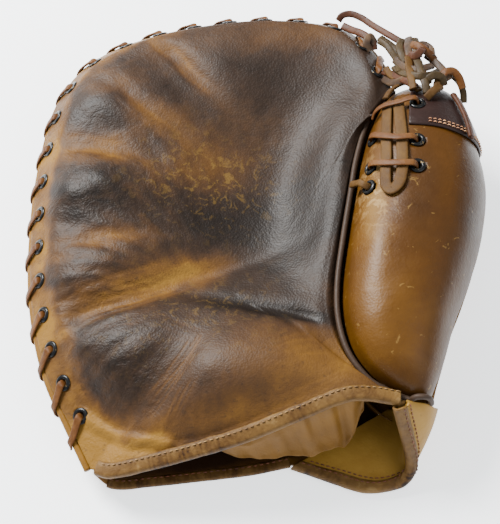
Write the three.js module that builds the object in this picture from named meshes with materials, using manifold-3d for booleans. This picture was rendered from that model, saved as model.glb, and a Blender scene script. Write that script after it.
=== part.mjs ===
// A first baseman's mitt lying on its back: palm up, fingers towards +Y, thumb on the +X side.
// Lengths are millimetres. The tables give x and y as shares of half the mitt's width and length,
// measured from its middle, and z and rise as shares of its height.
import * as THREE from "three";
import { mergeVertices } from "three/addons/utils/BufferGeometryUtils.js";
import Module from "manifold-3d";

const wasm = await Module();
wasm.setup();

const mitt = { width: 262, length: 288, height: 78 };
const leather = 2.2;
const clearance = 0.4;
const stack = 2 * leather + clearance;
const palmPad = { thickness: 13, level: 54, roll: 13, flange: 14, rise: 20 };
const backPanel = { thickness: 2.2, fall: 34 };
const thumbPad = { thickness: 8, tuck: 1.6 };
const welt = { radius: 1.3 };
const rimWelt = { radius: 2.1 };
const eyelet = { hole: 2.7, outside: 4.6, height: 1.2, inset: 8, sides: 8 };
const rimEyelets = { count: 21, first: 26, last: 18 };
const lace = { width: 4.2, thickness: 1.4 };
const strap = { width: 6.4, thickness: 1.8 };
const binding = { leg: 6, thickness: 1.3 };
const lining = { thickness: 1.6, drop: 32, reach: 15 };
const smallest = 0.15;

const table = (names, rows) =>
  rows.map((row) => Object.fromEntries(names.map((name, i) => [name, row[i]])));

// The laced rim, from the heel's left corner round the finger end to the corner beside the thumb.
const rimRows = table(["x", "y", "z", "flange", "slope", "rise"], [
  [-0.66, -0.94, 0.24, 1.35, 0.35, 0.30],
  [-0.74, -0.80, 0.28, 1.40, 0.45, 0.60],
  [-0.86, -0.58, 0.33, 1.05, 0.75, 0.85],
  [-0.94, -0.28, 0.37, 1.00, 0.95, 0.80],
  [-0.96, 0.06, 0.39, 1.00, 1.00, 0.75],
  [-0.94, 0.34, 0.41, 0.96, 1.00, 0.66],
  [-0.88, 0.60, 0.44, 0.94, 1.05, 0.54],
  [-0.74, 0.785, 0.475, 0.94, 1.15, 0.42],
  [-0.47, 0.905, 0.505, 0.94, 1.30, 0.34],
  [-0.15, 0.958, 0.535, 0.94, 1.40, 0.26],
  [0.12, 0.965, 0.555, 0.94, 1.40, 0.20],
  [0.37, 0.92, 0.59, 0.94, 1.15, 0.12],
  [0.505, 0.81, 0.64, 0.94, 0.80, 0.08],
  [0.58, 0.66, 0.69, 1.10, 0.45, 0.06],
  [0.60, 0.565, 0.72, 1.15, 0.20, 0.06],
]);

// The palm's heel edge, from the foot of the thumb to the heel's left corner.
const lipRows = table(["x", "y", "z", "flange", "slope", "rise"], [
  [0.565, -0.766, 0.675, 0.50, 0.10, 0.10],
  [0.46, -0.758, 0.71, 0.55, 0.10, 0.10],
  [0.36, -0.765, 0.72, 0.60, 0.10, 0.12],
  [0.18, -0.822, 0.665, 0.60, 0.30, 0.30],
  [-0.02, -0.884, 0.58, 0.60, 0.42, 0.55],
  [-0.22, -0.924, 0.48, 0.62, 0.45, 0.75],
  [-0.42, -0.955, 0.38, 0.95, 0.42, 0.65],
  [-0.58, -0.968, 0.29, 1.00, 0.40, 0.45],
  [-0.66, -0.94, 0.24, 1.35, 0.35, 0.30],
]);

// Cross-sections of the thumb from its foot to its tip, each a rounded form with a flat sole.
const thumbRows = table(["y", "left", "right", "foot", "mid", "top"], [
  [-0.747, 0.625, 0.705, 0.00, 0.52, 0.67],
  [-0.712, 0.520, 0.725, 0.00, 0.52, 0.76],
  [-0.650, 0.430, 0.745, 0.00, 0.51, 0.84],
  [-0.560, 0.365, 0.778, 0.00, 0.49, 0.90],
  [-0.434, 0.332, 0.820, 0.00, 0.46, 0.95],
  [-0.295, 0.332, 0.882, 0.00, 0.44, 0.98],
  [-0.115, 0.359, 0.950, 0.00, 0.44, 1.00],
  [0.100, 0.400, 0.992, 0.00, 0.44, 1.00],
  [0.233, 0.427, 0.985, 0.00, 0.45, 0.99],
  [0.406, 0.485, 0.945, 0.03, 0.49, 0.93],
  [0.510, 0.553, 0.885, 0.17, 0.55, 0.85],
  [0.566, 0.640, 0.812, 0.36, 0.58, 0.76],
  [0.592, 0.700, 0.765, 0.49, 0.58, 0.67],
]);
const thumb = { seam: 156, side: -12, upperPower: 2.4, lowerPower: 2.8, sole: 1.2 };

// Dents, rolls and folds of the palm: long and wide are shares of the half length, turn is degrees.
const palmForms = table(["x", "y", "long", "wide", "turn", "rise"], [
  [0.06, 0.16, 0.50, 0.36, 62, -0.25],
  [0.30, -0.26, 0.26, 0.15, 100, -0.10],
  [-0.34, -0.62, 0.42, 0.20, 6, 0.09],
  [0.16, -0.56, 0.28, 0.17, 18, 0.05],
  [-0.44, -0.30, 0.46, 0.10, 22, -0.11],
  [-0.62, 0.36, 0.30, 0.09, 0, -0.06],
  [-0.66, 0.14, 0.20, 0.10, 0, 0.05],
  [-0.66, 0.00, 0.26, 0.07, 12, -0.05],
  [-0.36, 0.66, 0.30, 0.09, -52, -0.06],
]);

// Edge of the thumb's cuff at the wrist, and the line where it meets the thumb, from the palm down.
const cuffRows = table(["x", "y", "z", "innerX", "innerY", "innerZ"], [
  [0.563, -0.789, 0.65, 0.592, -0.786, 0.655],
  [0.577, -0.812, 0.56, 0.632, -0.782, 0.620],
  [0.597, -0.838, 0.44, 0.690, -0.777, 0.560],
  [0.615, -0.868, 0.33, 0.717, -0.770, 0.470],
  [0.630, -0.900, 0.21, 0.738, -0.728, 0.330],
  [0.627, -0.936, 0.130, 0.728, -0.718, 0.180],
  [0.592, -0.962, 0.079, 0.685, -0.718, 0.045],
  [0.465, -0.980, 0.064, 0.655, -0.718, 0.024],
  [0.310, -0.937, 0.060, 0.610, -0.717, 0.024],
  [0.158, -0.888, 0.056, 0.560, -0.715, 0.024],
]);

// Heel edge of the back, from the cuff to the heel's left corner.
const backLipRows = table(["x", "y", "z"], [
  [0.150, -0.880, 0.002],
  [-0.02, -0.913, 0.004],
  [-0.22, -0.937, 0.008],
  [-0.42, -0.960, 0.020],
  [-0.58, -0.978, 0.070],
  [-0.66, -0.940, 0.165],
]);

// Where the back meets the thumb's outside, from the tip down to the cuff.
const backSeamRows = table(["y", "z"], [
  [0.545, 0.60],
  [0.500, 0.42],
  [0.430, 0.22],
  [0.340, 0.09],
  [0.233, 0.03],
  [0.100, 0.03],
  [-0.115, 0.03],
  [-0.295, 0.03],
  [-0.434, 0.03],
  [-0.560, 0.03],
  [-0.650, 0.03],
  [-0.704, 0.03],
]);

const { lerp, clamp, smoothstep, degToRad } = THREE.MathUtils;
const ease = (t) => smoothstep(t, 0, 1);
const spread = (count, from, to, make) =>
  Array.from({ length: count }, (_, i) => make(lerp(from, to, i / count)));
const X = (share) => (share * mitt.width) / 2;
const Y = (share) => (share * mitt.length) / 2;
const Z = (share) => share * mitt.height;
const at = (row) => new THREE.Vector3(X(row.x), Y(row.y), Z(row.z));

// Every column of a table at one value of its rising or falling key column, by a smooth cubic.
function rowAt(rows, key, value) {
  const way = Math.sign(rows.at(-1)[key] - rows[0][key]);
  let i = 0;
  while (i < rows.length - 2 && way * value > way * rows[i + 1][key]) i++;
  const [a, b, before, after] = [rows[i], rows[i + 1], rows[i - 1], rows[i + 2]];
  const span = b[key] - a[key];
  const t = clamp((value - a[key]) / span, 0, 1);
  const out = {};
  for (const name of Object.keys(a)) {
    const chord = (b[name] - a[name]) / span;
    const into = before ? (b[name] - before[name]) / (b[key] - before[key]) : chord;
    const outOf = after ? (after[name] - a[name]) / (after[key] - a[key]) : chord;
    out[name] =
      a[name] * (1 + 2 * t) * (1 - t) ** 2 +
      b[name] * (3 - 2 * t) * t ** 2 +
      span * (into * t * (1 - t) ** 2 - outOf * t ** 2 * (1 - t));
  }
  return out;
}

// Adds to each row its distance s along the line of the rows, in millimetres.
function measured(rows) {
  let s = 0;
  return rows.map((row, i) => {
    if (i) s += at(row).distanceTo(at(rows[i - 1]));
    return { ...row, s };
  });
}

// One closed body from vertices and faces, turned so that its faces point out.
function body(vertices, faces) {
  const halves = ([a, b, c, d]) => (d === undefined ? [[a, b, c]] : [[a, b, c], [a, c, d]]);
  const triangles = faces.flatMap(halves);
  const volume = triangles.reduce((sum, [a, b, c]) => {
    return sum + vertices[a].dot(new THREE.Vector3().crossVectors(vertices[b], vertices[c]));
  }, 0);
  const index = triangles.flatMap(([a, b, c]) => (volume > 0 ? [a, b, c] : [a, c, b]));
  const geometry = new THREE.BufferGeometry().setFromPoints(vertices);
  return geometry.setIndex(index);
}

// A wall between two grids of points of the same size.
function sheet(outer, inner) {
  const [rows, columns] = [outer.length, outer[0].length];
  const vertices = [...outer.flat(), ...inner.flat()];
  const front = (i, j) => i * columns + j;
  const back = (i, j) => rows * columns + i * columns + j;
  const faces = [];
  for (let i = 0; i < rows - 1; i++)
    for (let j = 0; j < columns - 1; j++) {
      faces.push([front(i, j), front(i, j + 1), front(i + 1, j + 1), front(i + 1, j)]);
      faces.push([back(i, j), back(i + 1, j), back(i + 1, j + 1), back(i, j + 1)]);
    }
  for (let j = 0; j < columns - 1; j++) {
    faces.push([front(0, j), back(0, j), back(0, j + 1), front(0, j + 1)]);
    const end = rows - 1;
    faces.push([front(end, j), front(end, j + 1), back(end, j + 1), back(end, j)]);
  }
  for (let i = 0; i < rows - 1; i++) {
    faces.push([front(i, 0), front(i + 1, 0), back(i + 1, 0), back(i, 0)]);
    const last = columns - 1;
    faces.push([front(i, last), back(i, last), back(i + 1, last), front(i + 1, last)]);
  }
  return body(vertices, faces);
}

// A wall between two dishes: each is a list of closed rings from the edge inwards, and a pole.
function dish(upper, upperPole, lower, lowerPole) {
  const [rings, columns] = [upper.length, upper[0].length];
  const vertices = [...upper.flat(), ...lower.flat(), upperPole, lowerPole];
  const top = (i, j) => i * columns + (j % columns);
  const under = (i, j) => rings * columns + i * columns + (j % columns);
  const faces = [];
  for (let j = 0; j < columns; j++) {
    for (let i = 0; i < rings - 1; i++) {
      faces.push([top(i, j), top(i, j + 1), top(i + 1, j + 1), top(i + 1, j)]);
      faces.push([under(i, j), under(i + 1, j), under(i + 1, j + 1), under(i, j + 1)]);
    }
    faces.push([top(rings - 1, j), top(rings - 1, j + 1), 2 * rings * columns]);
    faces.push([under(rings - 1, j + 1), under(rings - 1, j), 2 * rings * columns + 1]);
    faces.push([top(0, j), under(0, j), under(0, j + 1), top(0, j + 1)]);
  }
  return body(vertices, faces);
}

// A section swept through stations that each hold a centre, a side direction and an up direction.
function sweep(stations, outline) {
  const asContour = (points) => points.map(([across, above]) => new THREE.Vector2(across, above));
  const section = THREE.ShapeUtils.isClockWise(asContour(outline)) ? outline.toReversed() : outline;
  const placed = ({ centre, side, up }, [across, above]) =>
    centre.clone().addScaledVector(side, across).addScaledVector(up, above);
  const rings = stations.map((station) => section.map((corner) => placed(station, corner)));
  const count = section.length;
  const faces = [];
  for (let i = 0; i < rings.length - 1; i++)
    for (let j = 0; j < count; j++) {
      const k = (j + 1) % count;
      faces.push([i * count + j, i * count + k, (i + 1) * count + k, (i + 1) * count + j]);
    }
  const last = (rings.length - 1) * count;
  for (const [a, b, c] of THREE.ShapeUtils.triangulateShape(asContour(section), [])) {
    faces.push([c, b, a]);
    faces.push([last + a, last + b, last + c]);
  }
  return body(rings.flat(), faces);
}

const flatSection = ({ width, thickness }) => [
  [-width / 2, -thickness / 2],
  [width / 2, -thickness / 2],
  [width / 2, thickness / 2],
  [-width / 2, thickness / 2],
];
const roundSection = (radius, sides) =>
  Array.from({ length: sides }, (_, i) => {
    const angle = (i / sides) * 2 * Math.PI;
    return [radius * Math.cos(angle), radius * Math.sin(angle)];
  });

// Stations along a list of points, with the up direction kept as near as can be to the one given.
function stationsAlong(points, upAt) {
  return points.map((centre, i) => {
    const tangent = (points[i + 1] ?? centre).clone().sub(points[i - 1] ?? centre).normalize();
    const up = upAt(centre, i, tangent).clone();
    up.addScaledVector(tangent, -up.dot(tangent)).normalize();
    return { centre, side: new THREE.Vector3().crossVectors(tangent, up), up };
  });
}

// The thumb's outside at one place: angle is degrees round the section, 0 on the right, 90 on top.
function thumbSection(y) {
  const row = rowAt(thumbRows, "y", y / Y(1));
  const [left, right] = [X(row.left), X(row.right)];
  return {
    middle: (left + right) / 2,
    half: (right - left) / 2,
    foot: Z(row.foot),
    mid: Z(row.mid),
    top: Z(row.top),
  };
}
function thumbPoint(y, angle, inset = 0) {
  const s = thumbSection(y);
  const [c, n] = [Math.cos(degToRad(angle)), Math.sin(degToRad(angle))];
  const power = n >= 0 ? thumb.upperPower : thumb.lowerPower;
  const reach = (n >= 0 ? s.top - s.mid : s.mid - s.foot + thumb.sole) - inset;
  const x = s.middle + (s.half - inset) * Math.sign(c) * Math.abs(c) ** (2 / power);
  const z = s.mid + reach * Math.sign(n) * Math.abs(n) ** (2 / power);
  return new THREE.Vector3(x, y, Math.max(z, s.foot + inset));
}
// The left side of the thumb's outside at a height.
function thumbLeft(y, z) {
  const s = thumbSection(y);
  const upper = z >= s.mid;
  const reach = upper ? s.top - s.mid : s.mid - s.foot + thumb.sole;
  const share = clamp(Math.abs(z - s.mid) / reach, 0, 1);
  const power = upper ? thumb.upperPower : thumb.lowerPower;
  return s.middle - s.half * (1 - share ** power) ** (1 / power);
}

// The seam between palm and thumb, with room for the welt that is sewn into it.
const seamStart = Y(rimRows.at(-1).y);
const seamEnd = Y(-0.730);
const seamGap = 2 * (welt.radius + clearance);
const thumbFoot = Y(thumbRows[0].y) + 1;
const thumbTip = Y(thumbRows.at(-1).y);
const lowShares = [0, 0.015, 0.04, 0.08, 0.14, 0.22, 0.33, 0.46];
const highShares = [0.59, 0.71, 0.8, 0.88, 0.94, 0.98, 1];
const thumbLevels = [...lowShares, ...highShares].map((t) => lerp(thumbFoot, thumbTip, t));
const besideSeam = thumbLevels.filter((y) => y > seamEnd && y < seamStart - 3);
const seamLevels = [seamStart, ...besideSeam.toReversed()];
function seamPoint(y, gap) {
  const [a, b] = [thumbPoint(y + 1, thumb.seam), thumbPoint(y - 1, thumb.seam)];
  const outward = new THREE.Vector3(b.y - a.y, a.x - b.x, 0).normalize();
  return thumbPoint(y, thumb.seam).addScaledVector(outward, gap);
}

const rim = measured(rimRows);
const lip = measured(lipRows);
const rimLength = rim.at(-1).s;
const lipLength = lip.at(-1).s;
const edgeFrom = (row) => ({
  x: X(row.x),
  y: Y(row.y),
  z: Z(row.z),
  flange: (row.flange * palmPad.flange) / Math.hypot(1, row.slope),
  slope: row.slope,
  rise: row.rise * palmPad.rise,
});
const rimEdge = (s) => edgeFrom(rowAt(rim, "s", s));
const lipEdge = (s) => edgeFrom(rowAt(lip, "s", s));
function seamEdge(y) {
  const share = clamp((y - seamEnd) / (seamStart - seamEnd), 0, 1);
  const point = seamPoint(y, seamGap);
  const flange = lerp(lipRows[0].flange, rimRows.at(-1).flange, ease((share - 0.7) / 0.3));
  return {
    x: point.x,
    y: point.y,
    z: lerp(point.z, Z(rimRows.at(-1).z), ease((share - 0.75) / 0.25)),
    flange: flange * palmPad.flange,
    slope: 0,
    rise: 0.05 * palmPad.rise,
    seam: ease((1 - share) / 0.12),
  };
}
function fromSeam(x, y) {
  const point = seamPoint(clamp(y, seamEnd, seamStart), seamGap);
  return Math.hypot(Math.max(point.x - x, 0), y - point.y);
}

const palmPole = new THREE.Vector3(X(-0.08), Y(-0.32), 0);
const spanOf = (edge) => Math.hypot(edge.x - palmPole.x, edge.y - palmPole.y);
const formLift = palmForms.map((form) => ({ ...form, turn: degToRad(form.turn) }));
function relief(x, y) {
  return formLift.reduce((sum, form) => {
    const [dx, dy] = [x - X(form.x), y - Y(form.y)];
    const along = (dx * Math.cos(form.turn) + dy * Math.sin(form.turn)) / Y(form.long);
    const across = (dy * Math.cos(form.turn) - dx * Math.sin(form.turn)) / Y(form.wide);
    return sum + Z(form.rise) * Math.exp(-(along ** 2) - across ** 2);
  }, 0);
}
// The palm's face at a distance in from its edge, and the face of the felt pad under it.
function palmTop(edge, d) {
  const span = spanOf(edge);
  const x = lerp(edge.x, palmPole.x, d / span);
  const y = lerp(edge.y, palmPole.y, d / span);
  const past = Math.max(d - edge.flange, 0);
  const rise = edge.rise * (1 - Math.exp(-past / palmPad.roll));
  const level = edge.z + edge.slope * Math.min(d, edge.flange) + rise;
  const z = lerp(level, palmPad.level, ease((d / span - 0.15) / 0.85));
  const full = lerp(ease(past / 20), 1, edge.seam ?? 0) * ease(fromSeam(x, y) / 38);
  return new THREE.Vector3(x, y, z + relief(x, y) * full);
}
// A point moved through the leather, square to the slope of the flange and upright further in.
function sunk(point, edge, d, depth, reach) {
  const slope = edge.slope * (1 - ease((d - edge.flange) / reach));
  const inward = new THREE.Vector3(palmPole.x - edge.x, palmPole.y - edge.y, 0).normalize();
  const way = inward.multiplyScalar(slope).setZ(-1).normalize();
  return point.addScaledVector(way, depth);
}
function palmUnder(edge, d) {
  const depth = lerp(leather, palmPad.thickness, ease((d - edge.flange) / 34));
  return sunk(palmTop(edge, d), edge, d, depth, 20);
}

const rimLevels = spread(34, 0, rimLength, (s) => s);
const lipLevels = [0, 9, ...spread(11, 0, lipLength, (s) => s).slice(1), lipLength - 5];
const palmEdges = [
  ...rimLevels.map(rimEdge),
  ...seamLevels.map(seamEdge),
  ...lipLevels.map(lipEdge),
];
const palmRings = [
  (e) => 0,
  (e) => e.flange,
  (e) => e.flange + 6,
  (e) => e.flange + 14,
  (e, span) => lerp(e.flange + 14, span, 0.22),
  (e, span) => lerp(e.flange + 14, span, 0.46),
  (e, span) => lerp(e.flange + 14, span, 0.72),
];
function palmSolid() {
  const rings = (face) => palmRings.map((ring) => palmEdges.map((e) => face(e, ring(e, spanOf(e)))));
  const any = palmEdges[0];
  const pole = (face) => face(any, spanOf(any));
  return dish(rings(palmTop), pole(palmTop), rings(palmUnder), pole(palmUnder));
}

// The back. Its edge follows the rim under the palm's edge, the thumb's side, the cuff and the heel.
const backLip = measured(backLipRows);
const backSeamAt = (y) => {
  const z = Z(rowAt(backSeamRows, "y", y / Y(1)).z);
  const x = Math.min(thumbLeft(y, z + clearance) - 7 * clearance, X(rimRows.at(-1).x));
  return { x, y, z: Math.max(z - backPanel.thickness, 0), flange: 0, slope: 0 };
};
const flatEdge = (x, y, z) => ({ x, y, z, flange: 0, slope: 0 });
const backCorner = backSeamAt(Y(backSeamRows.at(-1).y));
const backEdges = [
  ...rimLevels.map((s) => {
    const e = rimEdge(s);
    const place = sunk(palmTop(e, 0), e, 0, stack, 1);
    return { x: place.x, y: place.y, z: place.z, flange: e.flange, slope: e.slope * ease(s / 24) };
  }),
  ...[Y(backSeamRows[0].y), ...thumbLevels.slice(4, -2).toReversed(), backCorner.y].map(backSeamAt),
  ...[0.25, 0.5, 0.75].map((t) => {
    return flatEdge(lerp(backCorner.x, X(0.15), t), lerp(backCorner.y, Y(-0.88), t), 0);
  }),
  ...spread(8, 0, backLip.at(-1).s, (s) => {
    const row = rowAt(backLip, "s", s);
    return flatEdge(X(row.x), Y(row.y), Math.max(Z(row.z), 0));
  }),
];
function backUnder(edge, d) {
  const x = lerp(edge.x, palmPole.x, d / spanOf(edge));
  const y = lerp(edge.y, palmPole.y, d / spanOf(edge));
  const level = edge.z + edge.slope * Math.min(d, edge.flange);
  const fall = ease((d - edge.flange) / backPanel.fall);
  return new THREE.Vector3(x, y, Math.max(level * (1 - fall), 0));
}
const backTop = (edge, d) => sunk(backUnder(edge, d), edge, d, -backPanel.thickness, backPanel.fall);
const backRings = [
  (e) => 0,
  (e) => e.flange,
  (e) => e.flange + backPanel.fall * 0.5,
  (e) => e.flange + backPanel.fall,
];
function backSolid() {
  const rings = (face) => backRings.map((ring) => backEdges.map((e) => face(e, ring(e))));
  const any = backEdges[0];
  const pole = (face) => face(any, spanOf(any));
  return dish(rings(backTop), pole(backTop), rings(backUnder), pole(backUnder));
}

// The thumb's padded front: thin and tucked in along its borders, thick between them.
function thumbPadDepths(y, angle) {
  const fromSeam = Math.min(thumb.seam - angle, angle - thumb.side) / 26;
  const fromEnds = Math.min(y - thumbFoot, thumbTip - y) / 16;
  const full = ease(fromSeam) * ease(fromEnds);
  return { outer: thumbPad.tuck * (1 - full), depth: lerp(leather, thumbPad.thickness, full) };
}
const thumbPadFace = (y, angle) => thumbPoint(y, angle, thumbPadDepths(y, angle).outer);
function thumbPadSolid() {
  const angles = Array.from({ length: 13 }, (_, i) => lerp(thumb.seam, thumb.side, i / 12));
  const inner = (y, angle) => {
    const { outer, depth } = thumbPadDepths(y, angle);
    return thumbPoint(y, angle, outer + depth);
  };
  return sheet(
    thumbLevels.map((y) => angles.map((angle) => thumbPadFace(y, angle))),
    thumbLevels.map((y) => angles.map((angle) => inner(y, angle))),
  );
}

// The thumb's back: from the front's side seam under the sole and up the wall beside the fingers.
function thumbBackSolid() {
  const foot = Y(-0.708);
  const rows = [foot, ...thumbLevels.filter((y) => y > foot + 6)];
  const start = thumb.side - 1.2;
  const end = (y) => lerp(-128, -187, ease((y - foot) / Y(0.42)));
  const grid = (inset) =>
    rows.map((y) =>
      Array.from({ length: 12 }, (_, j) => thumbPoint(y, lerp(start, end(y), j / 11), inset)),
    );
  return sheet(grid(0), grid(leather));
}

// The dark cap over the thumb's tip, one layer above the padded front.
const capLift = clearance + 0.7 * leather;
const capRows = table(["angle", "y"], [
  [100, 0.306],
  [89, 0.300],
  [78, 0.293],
  [64, 0.283],
  [38, 0.280],
  [14, 0.285],
  [-11, 0.295],
]);
function capSolid() {
  const angles = [100, 86, 72, 58, 44, 30, 16, 2, -11];
  const levels = [50, ...thumbLevels.slice(-4)];
  const grid = (lift) => {
    const place = (y, angle) => thumbPoint(y, angle, thumbPadDepths(y, angle).outer - lift);
    const edge = angles.map((angle) => place(Y(rowAt(capRows, "angle", angle).y), angle));
    return [edge, ...levels.map((y) => angles.map((angle) => place(y, angle)))];
  };
  return sheet(grid(capLift), grid(clearance));
}

// The cuff below the thumb: a curved panel from the wrist opening's edge to the thumb's foot.
const cuff = measured(cuffRows);
function cuffPoint(s, t) {
  const row = rowAt(cuff, "s", s);
  const edge = at(row);
  const inner = new THREE.Vector3(X(row.innerX), Y(row.innerY), Z(row.innerZ));
  const bulge = 3.5 * Math.sin(Math.PI * t) * ease((row.z - 0.03) / 0.25);
  return edge.lerp(inner, t).add(new THREE.Vector3(bulge, 0, 0));
}
function cuffFrame(s, t) {
  const step = 0.5;
  const tangent = cuffPoint(s + step, t).sub(cuffPoint(s - step, t)).normalize();
  const inward = cuffPoint(s, t + 0.02).sub(cuffPoint(s, t - 0.02)).normalize();
  const out = new THREE.Vector3().crossVectors(inward, tangent).normalize();
  return { tangent, inward, out };
}
const cuffLength = cuff.at(-1).s;
const cuffLevels = [0.6, ...spread(17, 0, cuffLength, (s) => s).slice(1), cuffLength - 0.6];
function cuffSolid() {
  const shares = [0, 0.06, 0.36, 0.68, 1];
  const grid = (side) =>
    cuffLevels.map((s) =>
      shares.map((t) => {
        const { out } = cuffFrame(s, clamp(t, 0.03, 0.97));
        return cuffPoint(s, t).addScaledVector(out, (side * leather) / 2);
      }),
    );
  return sheet(grid(1), grid(-1));
}

// The frame along a leather edge: along it, out past it in the plane of its flange, and up from it.
function edgeFrame(edgeAt, s) {
  const e = edgeAt(s);
  const face = palmTop(e, 0);
  const along = palmTop(edgeAt(s + 1), 0).sub(palmTop(edgeAt(s - 1), 0)).normalize();
  const inward = palmTop(e, e.flange).sub(face).normalize();
  const out = inward.clone().negate();
  out.addScaledVector(along, -out.dot(along)).normalize();
  const up = new THREE.Vector3().crossVectors(along, out);
  if (up.z < 0) up.negate();
  return { along, inward, out, up, face };
}
const eyeletPitch = (rimLength - rimEyelets.first - rimEyelets.last) / (rimEyelets.count - 1);
const eyeletAt = (i) => rimEyelets.first + i * eyeletPitch;

// A rolled ring, standing on its own Z axis, and its place on a surface.
const ringShape = [
  [eyelet.hole, 0],
  [eyelet.outside, 0],
  [(eyelet.hole + eyelet.outside) / 2, eyelet.height],
  [eyelet.hole, 0],
].map(([r, z]) => new THREE.Vector2(r, z));
function ringGeometry() {
  const ring = new THREE.LatheGeometry(ringShape, eyelet.sides).rotateX(Math.PI / 2);
  return closed(ring);
}
function closed(geometry) {
  const bare = geometry.clone();
  bare.deleteAttribute("normal");
  bare.deleteAttribute("uv");
  const merged = mergeVertices(bare, 1e-3);
  const points = merged.getAttribute("position");
  const vertex = (_, i) => new THREE.Vector3().fromBufferAttribute(points, i);
  const vertices = Array.from({ length: points.count }, vertex);
  const index = merged.index.array;
  const faces = [];
  for (let i = 0; i < index.length; i += 3) {
    const face = [index[i], index[i + 1], index[i + 2]];
    if (new Set(face).size === 3) faces.push(face);
  }
  return body(vertices, faces);
}

// Holes cut through a solid where the laces pass. Edges shorter than the smallest one are joined.
function pierced(geometry, places, depth) {
  const solidOf = (g) => {
    const merged = mergeVertices(g, 1e-4);
    const vertProperties = new Float32Array(merged.getAttribute("position").array);
    const triVerts = new Uint32Array(merged.index.array);
    return new wasm.Manifold(new wasm.Mesh({ numProp: 3, vertProperties, triVerts }));
  };
  const radius = eyelet.hole + 2 * clearance;
  let solid = solidOf(geometry);
  for (const { centre, up } of places) {
    const drill = closed(new THREE.CylinderGeometry(radius, radius, depth, 6));
    drill.applyQuaternion(new THREE.Quaternion().setFromUnitVectors(new THREE.Vector3(0, 1, 0), up));
    drill.translate(centre.x, centre.y, centre.z);
    solid = solid.subtract(solidOf(drill));
  }
  const mesh = solid.asOriginal().simplify(smallest).getMesh();
  const position = new THREE.BufferAttribute(new Float32Array(mesh.vertProperties), 3);
  return new THREE.BufferGeometry().setAttribute("position", position).setIndex([...mesh.triVerts]);
}

const surface = (color, roughness, metalness = 0) =>
  new THREE.MeshStandardMaterial({ color, roughness, metalness });
const materials = {
  palm: surface(0x4a3020, 0.5),
  tan: surface(0x9a6424, 0.5),
  cap: surface(0x4a2c26, 0.45),
  binding: surface(0x9c7a45, 0.6),
  rawhide: surface(0xb08a55, 0.65),
  redLace: surface(0x8a4a2c, 0.5),
  darkWelt: surface(0x33241a, 0.6),
  enamel: surface(0x16181a, 0.3, 0.8),
};

const model = new THREE.Group();
function piece(name, geometry, material) {
  const mesh = new THREE.Mesh(geometry, material);
  mesh.name = name;
  model.add(mesh);
  return mesh;
}

// Palm and back, pierced for the rim lace.
const rimHoles = Array.from({ length: rimEyelets.count }, (_, i) => {
  const { face, inward, up } = edgeFrame(rimEdge, eyeletAt(i));
  return { centre: face.addScaledVector(inward, eyelet.inset), up };
});
piece("palm_pad", pierced(palmSolid(), rimHoles, 2 * stack), materials.palm);
piece("back_panel", pierced(backSolid(), rimHoles, 4 * stack), materials.tan);
piece("thumb_back", thumbBackSolid(), materials.tan);
piece("cuff_panel", cuffSolid(), materials.tan);

// Thumb front and cap with six eyelets in two columns; the first is set through the cap.
const thumbEyelets = table(["y", "angle", "lift"], [
  [0.410, 93.5, capLift],
  [0.229, 93.5, 0],
  [0.111, 93, 0],
  [0.285, 138, 0],
  [0.146, 134, 0],
  [0.056, 132.5, 0],
]);
function thumbFrame(y, angle, lift = 0) {
  const at = (yy, aa) => thumbPoint(yy, aa, thumbPadDepths(yy, aa).outer - lift);
  const along = at(y + 1, angle).sub(at(y - 1, angle)).normalize();
  const round = at(y, angle - 1).sub(at(y, angle + 1)).normalize();
  const up = new THREE.Vector3().crossVectors(round, along).normalize();
  if (up.z < 0) up.negate();
  return { centre: at(y, angle), along, round, up };
}
const thumbHoles = thumbEyelets.map(({ y, angle, lift }) => thumbFrame(Y(y), angle, lift));
piece("thumb_pad", pierced(thumbPadSolid(), thumbHoles, 30), materials.tan);
piece("thumb_cap", pierced(capSolid(), thumbHoles.slice(0, 1), 12), materials.cap);

// Welts: a cord of leather in the seam round the thumb, and a piping along the laced rim.
function thumbWeltSolid() {
  const points = seamLevels.slice(1).map((y) => seamPoint(y, seamGap / 2));
  const foot = (angle) => {
    const p = thumbPoint(thumbFoot, angle, thumbPad.tuck / 2);
    return p.setY(p.y - welt.radius - clearance);
  };
  for (let angle = thumb.seam - 14; angle >= thumb.side + 10; angle -= 14) points.push(foot(angle));
  const stations = stationsAlong(points, () => new THREE.Vector3(0.2, 0.3, 1));
  return sweep(stations, roundSection(welt.radius, 6));
}
piece("thumb_welt", thumbWeltSolid(), materials.darkWelt);

const rimStations = [3, ...rimLevels.slice(1, -1), rimLength - 14];
const rimWeltOut = rimWelt.radius + clearance;
function rimWeltSolid() {
  const stations = rimStations.map((s) => {
    const { out, up, face } = edgeFrame(rimEdge, s);
    const centre = face.addScaledVector(out, rimWeltOut).addScaledVector(up, -stack / 2);
    return { centre, side: out, up };
  });
  return sweep(stations, roundSection(rimWelt.radius, 5));
}
piece("rim_welt", rimWeltSolid(), materials.tan);

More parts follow.
